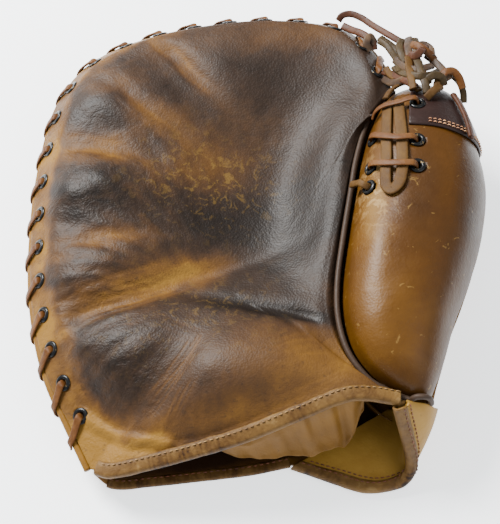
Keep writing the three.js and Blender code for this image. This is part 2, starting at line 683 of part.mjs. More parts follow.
// The rim lace: up through an eyelet, out over the welt towards the heel, and back underneath.
// Out is a share of the eyelets' inset, up of the two leathers' thickness, along of the pitch.
const whip = table(["out", "up", "along"], [
  [-1.00, -0.70, 0.00],
  [-1.00, 0.62, 0.00],
  [-0.85, 1.10, 0.03],
  [-0.40, 1.18, 0.14],
  [0.22, 1.02, 0.29],
  [0.66, 0.58, 0.38],
  [0.78, 0.00, 0.46],
  [0.52, -0.76, 0.54],
  [-0.25, -1.10, 0.74],
]);
function rimLaceSolid() {
  const points = [];
  const normals = [];
  for (let i = rimEyelets.count - 1; i >= 0; i--)
    for (const [k, step] of whip.entries()) {
      if (i === 0 && k > 6) break;
      const { inward, out, up, face } = edgeFrame(rimEdge, eyeletAt(i) - step.along * eyeletPitch);
      const way = step.out < 0 ? inward.clone().negate() : out;
      const place = face.addScaledVector(way, step.out * eyelet.inset);
      points.push(place.addScaledVector(up, (step.up - 0.5) * stack));
      const [before, after] = [whip[k - 1] ?? whip.at(-1), whip[k + 1] ?? whip[0]];
      const [dOut, dUp] = [(after.out - before.out) * eyelet.inset, (after.up - before.up) * stack];
      normals.push(up.clone().multiplyScalar(dOut).addScaledVector(out, -dUp));
    }
  return sweep(stationsAlong(points, (_, i) => normals[i]), flatSection(lace));
}
piece("rim_lace", rimLaceSolid(), materials.redLace);

// Eyelets: a rolled ring round every hole.
function setRing(name, { centre, up }) {
  const ring = piece(name, ringGeometry(), materials.enamel);
  ring.position.copy(centre).addScaledVector(up, 1.3 * clearance);
  ring.quaternion.setFromUnitVectors(new THREE.Vector3(0, 0, 1), up);
}
rimHoles.forEach((hole, i) => setRing(`rim_eyelet_${String(i + 1).padStart(2, "0")}`, hole));
thumbHoles.forEach((hole, i) => setRing(`thumb_eyelet_${i + 1}`, hole));

// Bindings: strips folded over the heel's edge, the back's edge and the cuff's edge.
function channel(leg, core, c) {
  const w = binding.thickness;
  return [
    [-leg, c],
    [-leg, c + w],
    [0, c + w],
    [c + w, -core / 2],
    [0, -core - c - w],
    [-leg, -core - c - w],
    [-leg, -core - c],
    [0, -core - c],
    [c, -core / 2],
    [0, c],
  ];
}
const steps = (count, from, to, make) =>
  Array.from({ length: count }, (_, i) => make(lerp(from, to, i / (count - 1))));
const heelStations = lipLevels.slice(1).map((s) => {
  const { out, up, face } = edgeFrame(lipEdge, s);
  return { centre: face, side: out, up };
});
const heelChannel = channel(binding.leg, leather, 1.5 * clearance);
piece("heel_binding", sweep(heelStations, heelChannel), materials.binding);

const backLipStations = steps(9, 3, backLip.at(-1).s - 24, (s) => {
  const row = rowAt(backLip, "s", s);
  const next = rowAt(backLip, "s", s + 1);
  const before = rowAt(backLip, "s", s - 1);
  const out = new THREE.Vector3(Y(next.y - before.y), -X(next.x - before.x), 0).normalize();
  const up = new THREE.Vector3(0, 0, 1);
  const centre = at(row).setZ(Math.max(Z(row.z), 0) + backPanel.thickness);
  if (out.y > 0) out.negate();
  return { centre, side: out, up };
});
const backChannel = [
  [-binding.leg, clearance],
  [-binding.leg, clearance + binding.thickness],
  [clearance, clearance + binding.thickness],
  [clearance + binding.thickness, 0],
  [clearance + binding.thickness, -backPanel.thickness],
  [clearance, -backPanel.thickness],
  [clearance, clearance],
];
piece("back_binding", sweep(backLipStations, backChannel), materials.binding);

const cuffStations = cuffLevels.slice(1, -1).map((s) => {
  const { inward, out } = cuffFrame(s, 0.03);
  const centre = cuffPoint(s, 0).addScaledVector(out, leather / 2);
  return { centre, side: inward.clone().negate(), up: out };
});
const cuffChannel = channel(0.75 * binding.leg, leather, 4 * clearance);
piece("cuff_binding", sweep(cuffStations, cuffChannel), materials.binding);

// The palm's lining, hanging out in gathers under the heel edge: reach and drop are shares.
const liningRows = table(["s", "drop"], [
  [17, 0.50],
  [26, 0.92],
  [38, 1.00],
  [56, 0.82],
  [80, 0.45],
  [104, 0.12],
]);
const liningShape = table(["reach", "drop"], [
  [0.60, 0.00],
  [0.26, 0.03],
  [0.10, 0.22],
  [-0.14, 0.55],
  [-0.50, 0.86],
  [-0.76, 1.00],
]);
function liningSolid() {
  const grid = (side) =>
    steps(13, liningRows[0].s, liningRows.at(-1).s, (s) => {
      const { out, face } = edgeFrame(lipEdge, s);
      const inward = out.setZ(0).normalize().negate();
      const share = rowAt(liningRows, "s", s).drop;
      const drop = lining.drop * share * (1 + 0.08 * Math.sin(s / 3.6));
      const top = leather + binding.thickness + 5.5 * clearance;
      return liningShape.map((shape, k) => {
        const [before, after] = [liningShape[k - 1] ?? shape, liningShape[k + 1] ?? shape];
        const across = (after.reach - before.reach) * lining.reach;
        const down = (after.drop - before.drop) * drop;
        const normal = new THREE.Vector2(-down, across).setLength((side * lining.thickness) / 2);
        const reach = Math.max(shape.reach, shape.reach * share) * lining.reach;
        const point = face.clone().addScaledVector(inward, reach + normal.x);
        return point.setZ(face.z - top - shape.drop * drop - normal.y);
      });
    });
  return sheet(grid(1), grid(-1));
}
piece("palm_lining", liningSolid(), materials.binding);

// The thumb's strap and laces, laid over its front. Their tables give the y share, the angle round
// the thumb and the lift in millimetres.
function laid(rows, section, count) {
  const frames = rows.map(([y, angle]) => thumbFrame(Y(y), angle));
  const middle = frames.map(({ up }) => up);
  const places = frames.map(({ centre, up }, i) => centre.clone().addScaledVector(up, rows[i][2]));
  const curve = new THREE.CatmullRomCurve3(places);
  const points = steps(count, 0, 1, (t) => curve.getPoint(t));
  const upAt = (_, i) => {
    const u = (i / (count - 1)) * (rows.length - 1);
    const k = Math.min(Math.floor(u), rows.length - 2);
    return middle[k].clone().lerp(middle[k + 1], u - k);
  };
  return sweep(stationsAlong(points, upAt), flatSection(section));
}

const strapRows = [
  [0.440, 126, 2.0],
  [0.390, 123, 1.8],
  [0.264, 119, 1.7],
  [0.146, 116.5, 1.7],
  [0.070, 115.5, 1.7],
  [0.028, 113.5, 1.7],
  [0.008, 109, 1.7],
  [0.028, 104.5, 1.7],
  [0.070, 103, 1.7],
  [0.146, 103.5, 1.7],
  [0.264, 105.5, 1.7],
  [0.340, 108, 1.8],
  [0.410, 111, 2.0],
];
piece("thumb_strap", laid(strapRows, strap, 31), materials.rawhide);

const crossRows = [
  [
    [0.410, 93.5, -7],
    [0.410, 93.5, 3.8],
    [0.410, 95.4, 5.5],
    [0.408, 101, 5.4],
    [0.406, 108, 4.5],
    [0.406, 116, 4.3],
    [0.407, 124, 4.3],
    [0.406, 131, 4.1],
    [0.400, 137, 3.6],
    [0.388, 142, 2.6],
  ],
  [
    [0.229, 93.5, -7],
    [0.229, 93.8, 0.6],
    [0.229, 96, 3.2],
    [0.228, 100, 3.9],
    [0.228, 107, 4.1],
    [0.240, 115, 4.1],
    [0.256, 123, 4.1],
    [0.272, 130, 3.9],
    [0.281, 135.2, 3.0],
    [0.285, 137.6, 0],
    [0.285, 138, -6],
  ],
  [
    [0.111, 93, -7],
    [0.111, 93.3, 0.6],
    [0.111, 95.5, 3.2],
    [0.111, 100, 3.9],
    [0.113, 106, 4.1],
    [0.120, 114, 4.1],
    [0.132, 122, 4.0],
    [0.143, 129, 3.5],
    [0.146, 132.5, 2.2],
    [0.146, 134, -1],
    [0.146, 134, -6],
  ],
];
const crossLace = { width: 3.8, thickness: 1.3 };
crossRows.forEach((rows, i) => {
  piece(`thumb_lace_${i + 1}`, laid(rows, crossLace, 17), materials.redLace);
});
const overTip = [
  [0.449, 127, 4.0],
  [0.490, 125, 4.0],
  [0.518, 118, 3.9],
  [0.524, 109, 3.9],
  [0.508, 98, 3.6],
  [0.470, 92, 3.3],
];
piece("thumb_top_lace", laid(overTip, { width: 4, thickness: 2 }, 13), materials.rawhide);
const knotEnd = [
  [0.056, 132.5, -6],
  [0.056, 132.6, 0.4],
  [0.060, 134, 3.0],
  [0.072, 137, 4.2],
  [0.082, 143, 4.6],
  [0.092, 148, 5.4],
];
piece("thumb_knot", laid(knotEnd, { width: 4, thickness: 2.2 }, 13), materials.rawhide);

// Web laces between the palm's corner and the thumb's tip, each a row of places along it.
const webCord = { width: 4, thickness: 2.6 };
const towardsPalm = new THREE.Vector3(-0.15, -0.45, 1);
function free(rows, section, count) {
  const places = rows.map(([x, y, z]) => new THREE.Vector3(X(x), Y(y), Z(z)));
  const curve = new THREE.CatmullRomCurve3(places);
  const points = steps(count, 0, 1, (t) => curve.getPoint(t));
  return sweep(stationsAlong(points, () => towardsPalm), flatSection(section));
}
const webRows = [
  [
    [0.382, 0.928, 0.655],
    [0.397, 0.940, 0.685],
    [0.433, 0.944, 0.700],
    [0.482, 0.918, 0.715],
    [0.529, 0.875, 0.730],
    [0.575, 0.832, 0.755],
    [0.620, 0.786, 0.790],
    [0.655, 0.738, 0.835],
    [0.670, 0.674, 0.885],
    [0.674, 0.613, 0.917],
    [0.675, 0.562, 0.923],
  ],
  [
    [0.558, 0.790, 0.740],
    [0.585, 0.762, 0.760],
    [0.606, 0.720, 0.780],
    [0.621, 0.674, 0.816],
    [0.629, 0.626, 0.853],
    [0.631, 0.582, 0.883],
  ],
  [
    [0.579, 0.644, 0.771],
    [0.590, 0.611, 0.792],
    [0.602, 0.588, 0.814],
    [0.614, 0.573, 0.835],
  ],
  [
    [0.712, 0.620, 0.915],
    [0.720, 0.574, 0.938],
    [0.733, 0.536, 0.942],
    [0.752, 0.512, 0.915],
  ],
];
webRows.forEach((rows, i) => {
  const material = i === 2 ? materials.rawhide : materials.redLace;
  piece(`web_lace_${i + 1}`, free(rows, webCord, i ? 9 : 17), material);
});
const sideLace = [
  [0.468, 56, 3.9],
  [0.425, 54, 3.9],
  [0.375, 52, 3.9],
  [0.319, 51, 3.9],
  [0.262, 51, 3.9],
];
piece("web_lace_5", laid(sideLace, webCord, 9), materials.redLace);
const webKnots = [
  [
    [0.714, 0.640, 0.925],
    [0.706, 0.690, 0.905],
    [0.736, 0.712, 0.895],
    [0.768, 0.690, 0.900],
    [0.772, 0.645, 0.915],
  ],
  [
    [0.795, 0.594, 0.872],
    [0.826, 0.590, 0.865],
    [0.862, 0.584, 0.837],
    [0.893, 0.564, 0.802],
    [0.910, 0.530, 0.762],
    [0.912, 0.494, 0.727],
  ],
  [
    [0.780, 0.470, 0.932],
    [0.780, 0.500, 0.945],
    [0.795, 0.530, 0.934],
    [0.820, 0.545, 0.902],
  ],
];
webKnots.forEach((rows, i) => {
  piece(`web_knot_${i + 1}`, free(rows, webCord, 11), materials.rawhide);
});

// The mitt stands with the middle of its outline over the origin and its back on the floor.
const extent = new THREE.Box3().setFromObject(model, true);
const middle = extent.getCenter(new THREE.Vector3());
model.position.set(-middle.x, -middle.y, -extent.min.z);
model.updateMatrixWorld(true);

export default model;
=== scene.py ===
import itertools
import math

import bpy
import numpy as np
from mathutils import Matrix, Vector


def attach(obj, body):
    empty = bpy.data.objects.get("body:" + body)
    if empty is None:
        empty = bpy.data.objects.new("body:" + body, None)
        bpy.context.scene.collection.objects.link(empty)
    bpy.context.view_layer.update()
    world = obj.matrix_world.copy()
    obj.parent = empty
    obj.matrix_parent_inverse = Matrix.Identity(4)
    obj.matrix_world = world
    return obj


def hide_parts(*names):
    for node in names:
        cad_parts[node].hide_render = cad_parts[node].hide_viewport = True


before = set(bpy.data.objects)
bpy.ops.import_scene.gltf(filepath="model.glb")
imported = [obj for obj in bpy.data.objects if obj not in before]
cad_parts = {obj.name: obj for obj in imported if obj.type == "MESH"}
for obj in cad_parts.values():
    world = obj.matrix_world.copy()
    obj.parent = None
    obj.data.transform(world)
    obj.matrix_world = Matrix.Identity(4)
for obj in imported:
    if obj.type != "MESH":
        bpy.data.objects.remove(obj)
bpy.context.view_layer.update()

# The mitt lies on its back, palm up, with the thumb on the right. The first object made is the
# camera, which looks down at it from the wrist's side as the photograph does.
millimetre = 0.001
layout_shift = np.array([0.678, 0.060, 0.132])
view_elevation = 62
view_distance = 820
view_target = np.array([-2.5, -16.5, 28.0]) + layout_shift
picture_rows, row_height = 524, 0.56

slope_of_view = math.radians(view_elevation)
view_direction = Vector((0, -math.cos(slope_of_view), math.sin(slope_of_view)))
camera_data = bpy.data.cameras.new("camera")
camera_data.sensor_width = 36
camera_data.lens = camera_data.sensor_width * view_distance / (picture_rows * row_height)
camera = bpy.data.objects.new("camera", camera_data)
camera.location = (Vector(view_target) + view_direction * view_distance) * millimetre
camera.rotation_euler = (-view_direction).to_track_quat("-Z", "Y").to_euler()
bpy.context.scene.collection.objects.link(camera)
bpy.context.scene.camera = camera

# The palm is one heavy piece of oiled leather moulded over a felt pad. It is left thin as a flange
# where it is laced and sewn, and years of catches have worn a pocket and creases into it.
mitt = {"width": 262, "length": 288, "height": 78}
leather = 2.2
clearance = 0.4
stack = 2 * leather + clearance
palm_pad = {"thickness": 13, "level": 54, "roll": 13, "flange": 14, "rise": 20}
welt_radius = 1.3


def table(names, rows):
    return {name: np.array([row[i] for row in rows], float) for i, name in enumerate(names.split())}


# The laced rim, from the heel's left corner round the finger end to the corner beside the thumb.
rim_rows = table("x y z flange slope rise", [
    (-0.66, -0.94, 0.24, 1.35, 0.35, 0.30),
    (-0.74, -0.80, 0.28, 1.40, 0.45, 0.60),
    (-0.86, -0.58, 0.33, 1.05, 0.75, 0.85),
    (-0.94, -0.28, 0.37, 1.00, 0.95, 0.80),
    (-0.96, 0.06, 0.39, 1.00, 1.00, 0.75),
    (-0.94, 0.34, 0.41, 0.96, 1.00, 0.66),
    (-0.88, 0.60, 0.44, 0.94, 1.05, 0.54),
    (-0.74, 0.785, 0.475, 0.94, 1.15, 0.42),
    (-0.47, 0.905, 0.505, 0.94, 1.30, 0.34),
    (-0.15, 0.958, 0.535, 0.94, 1.40, 0.26),
    (0.12, 0.965, 0.555, 0.94, 1.40, 0.20),
    (0.37, 0.92, 0.59, 0.94, 1.15, 0.12),
    (0.505, 0.81, 0.64, 0.94, 0.80, 0.08),
    (0.58, 0.66, 0.69, 1.10, 0.45, 0.06),
    (0.60, 0.565, 0.72, 1.15, 0.20, 0.06),
])
# The heel edge, from the foot of the thumb to the heel's left corner.
lip_rows = table("x y z flange slope rise", [
    (0.565, -0.766, 0.675, 0.50, 0.10, 0.10),
    (0.46, -0.758, 0.71, 0.55, 0.10, 0.10),
    (0.36, -0.765, 0.72, 0.60, 0.10, 0.12),
    (0.18, -0.822, 0.665, 0.60, 0.30, 0.30),
    (-0.02, -0.884, 0.58, 0.60, 0.42, 0.55),
    (-0.22, -0.924, 0.48, 0.62, 0.45, 0.75),
    (-0.42, -0.955, 0.38, 0.95, 0.42, 0.65),
    (-0.58, -0.968, 0.29, 1.00, 0.40, 0.45),
    (-0.66, -0.94, 0.24, 1.35, 0.35, 0.30),
])
# Cross-sections of the thumb from its foot to its tip.
thumb_rows = table("y left right foot mid top", [
    (-0.747, 0.625, 0.705, 0.00, 0.52, 0.67),
    (-0.712, 0.520, 0.725, 0.00, 0.52, 0.76),
    (-0.650, 0.430, 0.745, 0.00, 0.51, 0.84),
    (-0.560, 0.365, 0.778, 0.00, 0.49, 0.90),
    (-0.434, 0.332, 0.820, 0.00, 0.46, 0.95),
    (-0.295, 0.332, 0.882, 0.00, 0.44, 0.98),
    (-0.115, 0.359, 0.950, 0.00, 0.44, 1.00),
    (0.100, 0.400, 0.992, 0.00, 0.44, 1.00),
    (0.233, 0.427, 0.985, 0.00, 0.45, 0.99),
    (0.406, 0.485, 0.945, 0.03, 0.49, 0.93),
    (0.510, 0.553, 0.885, 0.17, 0.55, 0.85),
    (0.566, 0.640, 0.812, 0.36, 0.58, 0.76),
    (0.592, 0.700, 0.765, 0.49, 0.58, 0.67),
])
thumb = {"seam": 156, "side": -12, "upper": 2.4, "lower": 2.8, "sole": 1.2}
# Dents, rolls and folds of the palm, each an oval: long and wide are shares of the half length.
palm_forms = table("x y long wide turn rise", [
    (0.06, 0.16, 0.50, 0.36, 62, -0.25),
    (0.30, -0.26, 0.26, 0.15, 100, -0.10),
    (-0.34, -0.62, 0.42, 0.20, 6, 0.09),
    (0.16, -0.56, 0.28, 0.17, 18, 0.05),
    (-0.44, -0.30, 0.46, 0.10, 22, -0.11),
    (-0.62, 0.36, 0.30, 0.09, 0, -0.06),
    (-0.66, 0.14, 0.20, 0.10, 0, 0.05),
    (-0.66, 0.00, 0.26, 0.07, 12, -0.05),
    (-0.36, 0.66, 0.30, 0.09, -52, -0.06),
])
# Creases in the palm, each row a family of lines side by side: gap, width and depth in millimetres.
# The last column above 0 bares paler leather; below 0 it darkens the crease as painted shade.
crease_rows = table("x1 y1 x2 y2 count gap width depth worn", [
    (-0.80, -0.40, -0.20, -0.18, 7, 3.0, 1.1, 0.60, 0.30),
    (-0.86, 0.34, -0.50, 0.27, 4, 3.2, 1.3, 0.55, 0.30),
    (-0.48, 0.88, -0.12, 0.52, 3, 3.0, 1.3, 0.60, 0.35),
    (-0.64, 0.62, -0.30, 0.38, 5, 3.6, 1.4, 0.45, 0.25),
    (-0.70, -0.09, -0.48, -0.05, 2, 3.4, 1.4, 0.60, 0.25),
    (-0.86, 0.02, -0.60, 0.06, 2, 4.0, 1.4, 0.45, 0.20),
    (-0.80, -0.50, -0.54, -0.34, 2, 3.0, 1.5, 0.70, -0.15),
    (-0.14, -0.34, 0.30, -0.45, 2, 3.0, 1.7, 1.10, -0.40),
    (-0.02, 0.46, 0.20, 0.38, 7, 2.6, 0.9, 0.30, -0.06),
    (0.10, 0.20, 0.42, 0.30, 7, 3.6, 1.0, 0.28, -0.08),
    (-0.43, -0.76, -0.22, -0.52, 5, 2.1, 0.6, 0.25, 0.45),
    (-0.34, -0.82, -0.24, -0.68, 3, 2.4, 0.6, 0.25, 0.40),
    (-0.60, -0.48, -0.46, -0.46, 1, 2.0, 0.6, 0.20, 0.50),
    (-0.40, -0.44, -0.18, -0.56, 4, 3.0, 0.9, 0.25, 0.20),
    (0.04, -0.80, 0.40, -0.64, 3, 3.4, 1.1, 0.30, 0.15),
    (0.08, -0.60, 0.40, -0.52, 4, 3.6, 0.9, 0.18, 0.15),
])
# Worn and oiled places, and painted shade in one crease: amount above 0 is paler leather, below 0 darker.
wear_and_shade_rows = table("x y long wide turn amount", [
    (-0.70, 0.32, 0.26, 0.07, -12, 0.34),
    (-0.52, -0.30, 0.40, 0.075, 20, 0.44),
    (-0.26, -0.20, 0.20, 0.05, 16, 0.45),
    (-0.60, -0.08, 0.18, 0.05, 10, 0.38),
    (-0.30, 0.72, 0.30, 0.05, -46, 0.32),
    (-0.48, 0.50, 0.30, 0.07, -35, 0.34),
    (-0.20, 0.22, 0.24, 0.12, 10, 0.26),
    (0.20, -0.62, 0.42, 0.20, 8, 0.34),
    (0.44, -0.60, 0.24, 0.12, 30, 0.24),
    (-0.16, -0.84, 0.46, 0.06, 6, 0.34),
    (-0.66, -0.86, 0.18, 0.10, 20, 0.55),
    (0.20, 0.84, 0.26, 0.10, 0, 0.26),
    (-0.88, -0.20, 0.50, 0.05, 88, 0.12),
    (0.20, 0.02, 0.40, 0.26, 70, -0.30),
    (0.06, 0.66, 0.40, 0.16, 0, -0.20),
    (-0.66, 0.50, 0.20, 0.09, 20, -0.28),
    (-0.70, 0.12, 0.18, 0.12, 0, -0.26),
    (-0.56, -0.58, 0.24, 0.18, 10, -0.16),
    # This row is painted shade along the crease at the thumb's foot.
    (0.08, -0.40, 0.30, 0.05, -12, -0.40),
    (-0.10, -0.02, 0.24, 0.14, 0, -0.16),
    (-0.30, 0.06, 0.20, 0.10, 0, -0.14),
])
# Small pads and valleys that wear has left in the face: rise is millimetres.
worn_forms = table("x y long wide turn rise", [
    (-0.70, 0.13, 0.20, 0.09, 0, 1.9),
    (-0.68, 0.50, 0.20, 0.08, -20, 1.6),
    (-0.62, -0.20, 0.22, 0.06, 12, 1.3),
    (-0.46, -0.58, 0.34, 0.15, 14, 2.2),
    (-0.12, -0.66, 0.22, 0.12, 20, 1.4),
    (-0.52, -0.33, 0.42, 0.040, 20, -2.8),
    (-0.24, -0.21, 0.20, 0.030, 16, -1.6),
    (-0.60, -0.08, 0.24, 0.032, 9, -1.6),
    (-0.68, 0.31, 0.26, 0.034, -12, -1.7),
    (-0.30, 0.70, 0.28, 0.035, -46, -1.6),
    (-0.47, 0.49, 0.26, 0.030, -36, -1.3),
    (0.06, -0.39, 0.36, 0.036, -14, -2.2),
    (-0.32, -0.68, 0.22, 0.026, 56, -1.1),
])
# The raised edge of the flat corner, from the lowest eyelet to the heel's binding.
corner_rows = table("x y", [
    (-0.700, -0.745),
    (-0.667, -0.775),
    (-0.635, -0.796),
    (-0.596, -0.817),
    (-0.551, -0.838),
    (-0.508, -0.853),
    (-0.456, -0.868),
    (-0.400, -0.880),
    (-0.340, -0.885),
])


def ease(t):
    t = np.clip(t, 0, 1)
    return t * t * (3 - 2 * t)


def between(a, b, t):
    return a + (b - a) * t


def X(share):
    return share * mitt["width"] / 2


def Y(share):
    return share * mitt["length"] / 2


def Z(share):
    return share * mitt["height"]


def points(x, y, z):
    return np.stack(np.broadcast_arrays(x, y, z), -1).astype(float)


def unit(v):
    return v / np.maximum(np.linalg.norm(v, axis=-1, keepdims=True), 1e-9)


def row_at(rows, key, value):
    """Every column of a table at the values of its key column, by a smooth cubic."""
    keys = rows[key]
    way = np.sign(keys[-1] - keys[0])
    value = np.asarray(value, float)
    last = len(keys) - 1
    a = np.clip(np.searchsorted(way * keys, way * value) - 1, 0, last - 1)
    b = a + 1
    before, after = np.maximum(a - 1, 0), np.minimum(b + 1, last)
    span = keys[b] - keys[a]
    t = np.clip((value - keys[a]) / span, 0, 1)
    found = {}
    for name, column in rows.items():
        chord = (column[b] - column[a]) / span
        into = np.where(a > 0, (column[b] - column[before]) / (keys[b] - keys[before]), chord)
        out = np.where(b < last, (column[after] - column[a]) / (keys[after] - keys[a]), chord)
        found[name] = (
            column[a] * (1 + 2 * t) * (1 - t) ** 2
            + column[b] * (3 - 2 * t) * t**2
            + span * (into * t * (1 - t) ** 2 - out * t**2 * (1 - t))
        )
    return found


def measured(rows):
    """The table with each row's distance s along its line, in millimetres."""
    places = points(X(rows["x"]), Y(rows["y"]), Z(rows["z"]))
    steps = np.linalg.norm(np.diff(places, axis=0), axis=1)
    return {**rows, "s": np.concatenate([[0], np.cumsum(steps)])}


def thumb_point(y, angle, inset=0.0):
    """The thumb's outside: angle is degrees round the section, 0 on the right and 90 on top."""
    y, angle, inset = np.broadcast_arrays(np.asarray(y, float), angle, inset)
    row = row_at(thumb_rows, "y", y / Y(1))
    middle, half = X(row["left"] + row["right"]) / 2, X(row["right"] - row["left"]) / 2
    foot, mid, top = Z(row["foot"]), Z(row["mid"]), Z(row["top"])
    c, n = np.cos(np.radians(angle)), np.sin(np.radians(angle))
    power = np.where(n >= 0, thumb["upper"], thumb["lower"])
    reach = np.where(n >= 0, top - mid, mid - foot + thumb["sole"]) - inset
    x = middle + (half - inset) * np.sign(c) * np.abs(c) ** (2 / power)
    z = mid + reach * np.sign(n) * np.abs(n) ** (2 / power)
    return points(x, y, np.maximum(z, foot + inset))


seam_start, seam_end = Y(rim_rows["y"][-1]), Y(-0.730)
seam_gap = 2 * (welt_radius + clearance)


def seam_point(y, gap):
    y = np.asarray(y, float)
    a, b = thumb_point(y + 1, thumb["seam"]), thumb_point(y - 1, thumb["seam"])
    way = b - a
    outward = unit(points(way[..., 1], -way[..., 0], 0 * y))
    return thumb_point(y, thumb["seam"]) + outward * gap


rim, lip = measured(rim_rows), measured(lip_rows)
rim_length, lip_length = rim["s"][-1], lip["s"][-1]


def edge_from(row):
    flange = row["flange"] * palm_pad["flange"] / np.hypot(1, row["slope"])
    place = {"x": X(row["x"]), "y": Y(row["y"]), "z": Z(row["z"])}
    rise = row["rise"] * palm_pad["rise"]
    return {**place, "flange": flange, "slope": row["slope"], "rise": rise, "seam": 0 * flange}


def rim_edge(s):
    return edge_from(row_at(rim, "s", s))


def lip_edge(s):
    return edge_from(row_at(lip, "s", s))


def seam_edge(y, gap=seam_gap):
    share = np.clip((y - seam_end) / (seam_start - seam_end), 0, 1)
    place = seam_point(y, gap)
    flange = between(lip_rows["flange"][0], rim_rows["flange"][-1], ease((share - 0.7) / 0.3))
    return {
        "x": place[..., 0],
        "y": place[..., 1],
        "z": between(place[..., 2], Z(rim_rows["z"][-1]), ease((share - 0.75) / 0.25)),
        "flange": flange * palm_pad["flange"],
        "slope": rim_rows["slope"][-1] * ease((share - 0.4) / 0.6),
        "rise": 0 * y + 0.06 * palm_pad["rise"],
        "seam": ease((1 - share) / 0.12),
    }


def joined(edges):
    return {name: np.concatenate([edge[name] for edge in edges]) for name in edges[0]}


def from_seam(x, y):
    """How far a place lies from the seam beside the thumb."""
    place = seam_point(np.clip(y, seam_end, seam_start), seam_gap)
    return np.hypot(np.maximum(place[..., 0] - x, 0), y - place[..., 1])


palm_pole = (X(-0.08), Y(-0.32))


def span_of(edge):
    return np.hypot(edge["x"] - palm_pole[0], edge["y"] - palm_pole[1])


def ovals(rows, column, x, y):
    """The soft ovals of a table summed over a place: the column says how much each one gives."""
    total = 0
    for i in range(len(rows["x"])):
        dx, dy = x - X(rows["x"][i]), y - Y(rows["y"][i])
        turn = math.radians(rows["turn"][i])
        along = (dx * math.cos(turn) + dy * math.sin(turn)) / Y(rows["long"][i])
        across = (dy * math.cos(turn) - dx * math.sin(turn)) / Y(rows["wide"][i])
        total = total + rows[column][i] * np.exp(-(along**2) - across**2)
    return total


def ripple(x, y, scale, seed):
    """A smooth random-looking wave of about one millimetre's size, the same on each run."""
    turns = np.array([0.3, 1.1, 2.0, 2.7, 3.9, 5.1])
    total = 0 * x
    for k, turn in enumerate(turns + seed):
        rate = (1 + 0.37 * k) / scale
        along = x * math.cos(turn * 2) + y * math.sin(turn * 2)
        total = total + np.sin(along * rate + 7 * turn) / (1 + 0.5 * k)
    return total / 2.6


def creases(x, y):
    """The depth of all the palm's creases at a place and how much they bare paler leather,
    less where a crease is darkened with painted shade.
    """
    bent_x = x + 1.8 * ripple(x, y, 11, 0.4)
    bent_y = y + 1.8 * ripple(x, y, 11, 2.2)
    depth, bared_and_shaded = 0 * x, 0 * x
    for i in range(len(crease_rows["x1"])):
        row = {name: column[i] for name, column in crease_rows.items()}
        start, end = np.array([X(row["x1"]), Y(row["y1"])]), np.array([X(row["x2"]), Y(row["y2"])])
        run = end - start
        length = np.hypot(*run)
        way = run / length
        for k in range(int(row["count"])):
            offset = (k - (row["count"] - 1) / 2) * row["gap"]
            slide = 0.14 * length * math.sin(5.1 * k + 3 * i)
            part = 0.75 + 0.25 * math.sin(2.3 * k + i)
            dx, dy = bent_x - start[0], bent_y - start[1]
            along = (dx * way[0] + dy * way[1] - slide) / length
            bow = 3.0 * math.sin(1.7 * i) * np.sin(math.pi * np.clip(along, 0, 1))
            across = dy * way[0] - dx * way[1] - offset - bow
            fade = ease(along / 0.25) * ease((1 - along) / 0.25) * part
            line = np.exp(-((across / row["width"]) ** 2)) * fade
            depth = depth + row["depth"] * line
            bared_and_shaded = bared_and_shaded + row["worn"] * line
    return depth, bared_and_shaded


def folds(x, y):
    """Shallow folds that run out from the pocket to the rim, deepest over the left half."""
    dx, dy = x - palm_pole[0], y - palm_pole[1]
    turn, reach = np.arctan2(dy, -dx), np.hypot(dx, dy)
    wave = np.sin(13 * turn + 0.8 * np.sin(3 * turn) + reach / 31)
    wave = wave + 0.7 * np.sin(29 * turn + 1.2 - reach / 17)
    fine = np.sin(61 * turn + 2.0 * np.sin(5 * turn) + reach / 9)
    part = ease((reach - 34) / 44) * np.exp(-((turn / 1.15) ** 2))
    return part * (0.42 * wave + 0.16 * fine), part * (0.5 * wave + 0.5 * fine)


def corner_step(x, y):
    """A low rounded ridge along the edge of the flat corner."""
    near = np.full(np.shape(x), 1e9)
    for k in range(len(corner_rows["x"]) - 1):
        start = np.array([X(corner_rows["x"][k]), Y(corner_rows["y"][k])])
        run = np.array([X(corner_rows["x"][k + 1]), Y(corner_rows["y"][k + 1])]) - start
        along = np.clip(((x - start[0]) * run[0] + (y - start[1]) * run[1]) / (run @ run), 0, 1)
        near = np.minimum(near, np.hypot(x - start[0] - along * run[0], y - start[1] - along * run[1]))
    return 1.5 * np.exp(-((near / 2.3) ** 2)) - 0.5 * np.exp(-(((near - 4.2) / 2.0) ** 2))


def palm_top(edge, d, fine=False):
    """The palm's face at a distance in from its edge."""
    share = d / span_of(edge)
    x, y = between(edge["x"], palm_pole[0], share), between(edge["y"], palm_pole[1], share)
    past = np.maximum(d - edge["flange"], 0)
    level = edge["z"] + edge["slope"] * np.minimum(d, edge["flange"])
    level = level + edge["rise"] * (1 - np.exp(-past / palm_pad["roll"]))
    z = between(level, palm_pad["level"], ease((share - 0.15) / 0.85))
    relief = Z(ovals(palm_forms, "rise", x, y))
    z = z + relief * between(ease(past / 20), 1, edge["seam"]) * ease(from_seam(x, y) / 38)
    if fine:
        depth, _ = creases(x, y)
        pillow = 0.6 * ripple(x, y, 16, 0.9) + 0.16 * ripple(x, y, 4.5, 1.7)
        radial, _ = folds(x, y)
        hollow = ovals(worn_forms, "rise", x, y)
        z = z + (pillow - depth - radial + hollow * ease(past / 16)) * ease(past / 9) + corner_step(x, y)
    return points(x, y, z)


def sunk(place, edge, d, depth, reach):
    """A place moved through the leather, square to the flange's slope and upright further in."""
    slope = edge["slope"] * (1 - ease((d - edge["flange"]) / reach))
    inward = unit(points(palm_pole[0] - edge["x"], palm_pole[1] - edge["y"], 0 * edge["x"]))
    way = inward * np.asarray(slope)[..., None] - np.array([0, 0, 1.0])
    return place + unit(way) * np.asarray(depth)[..., None]


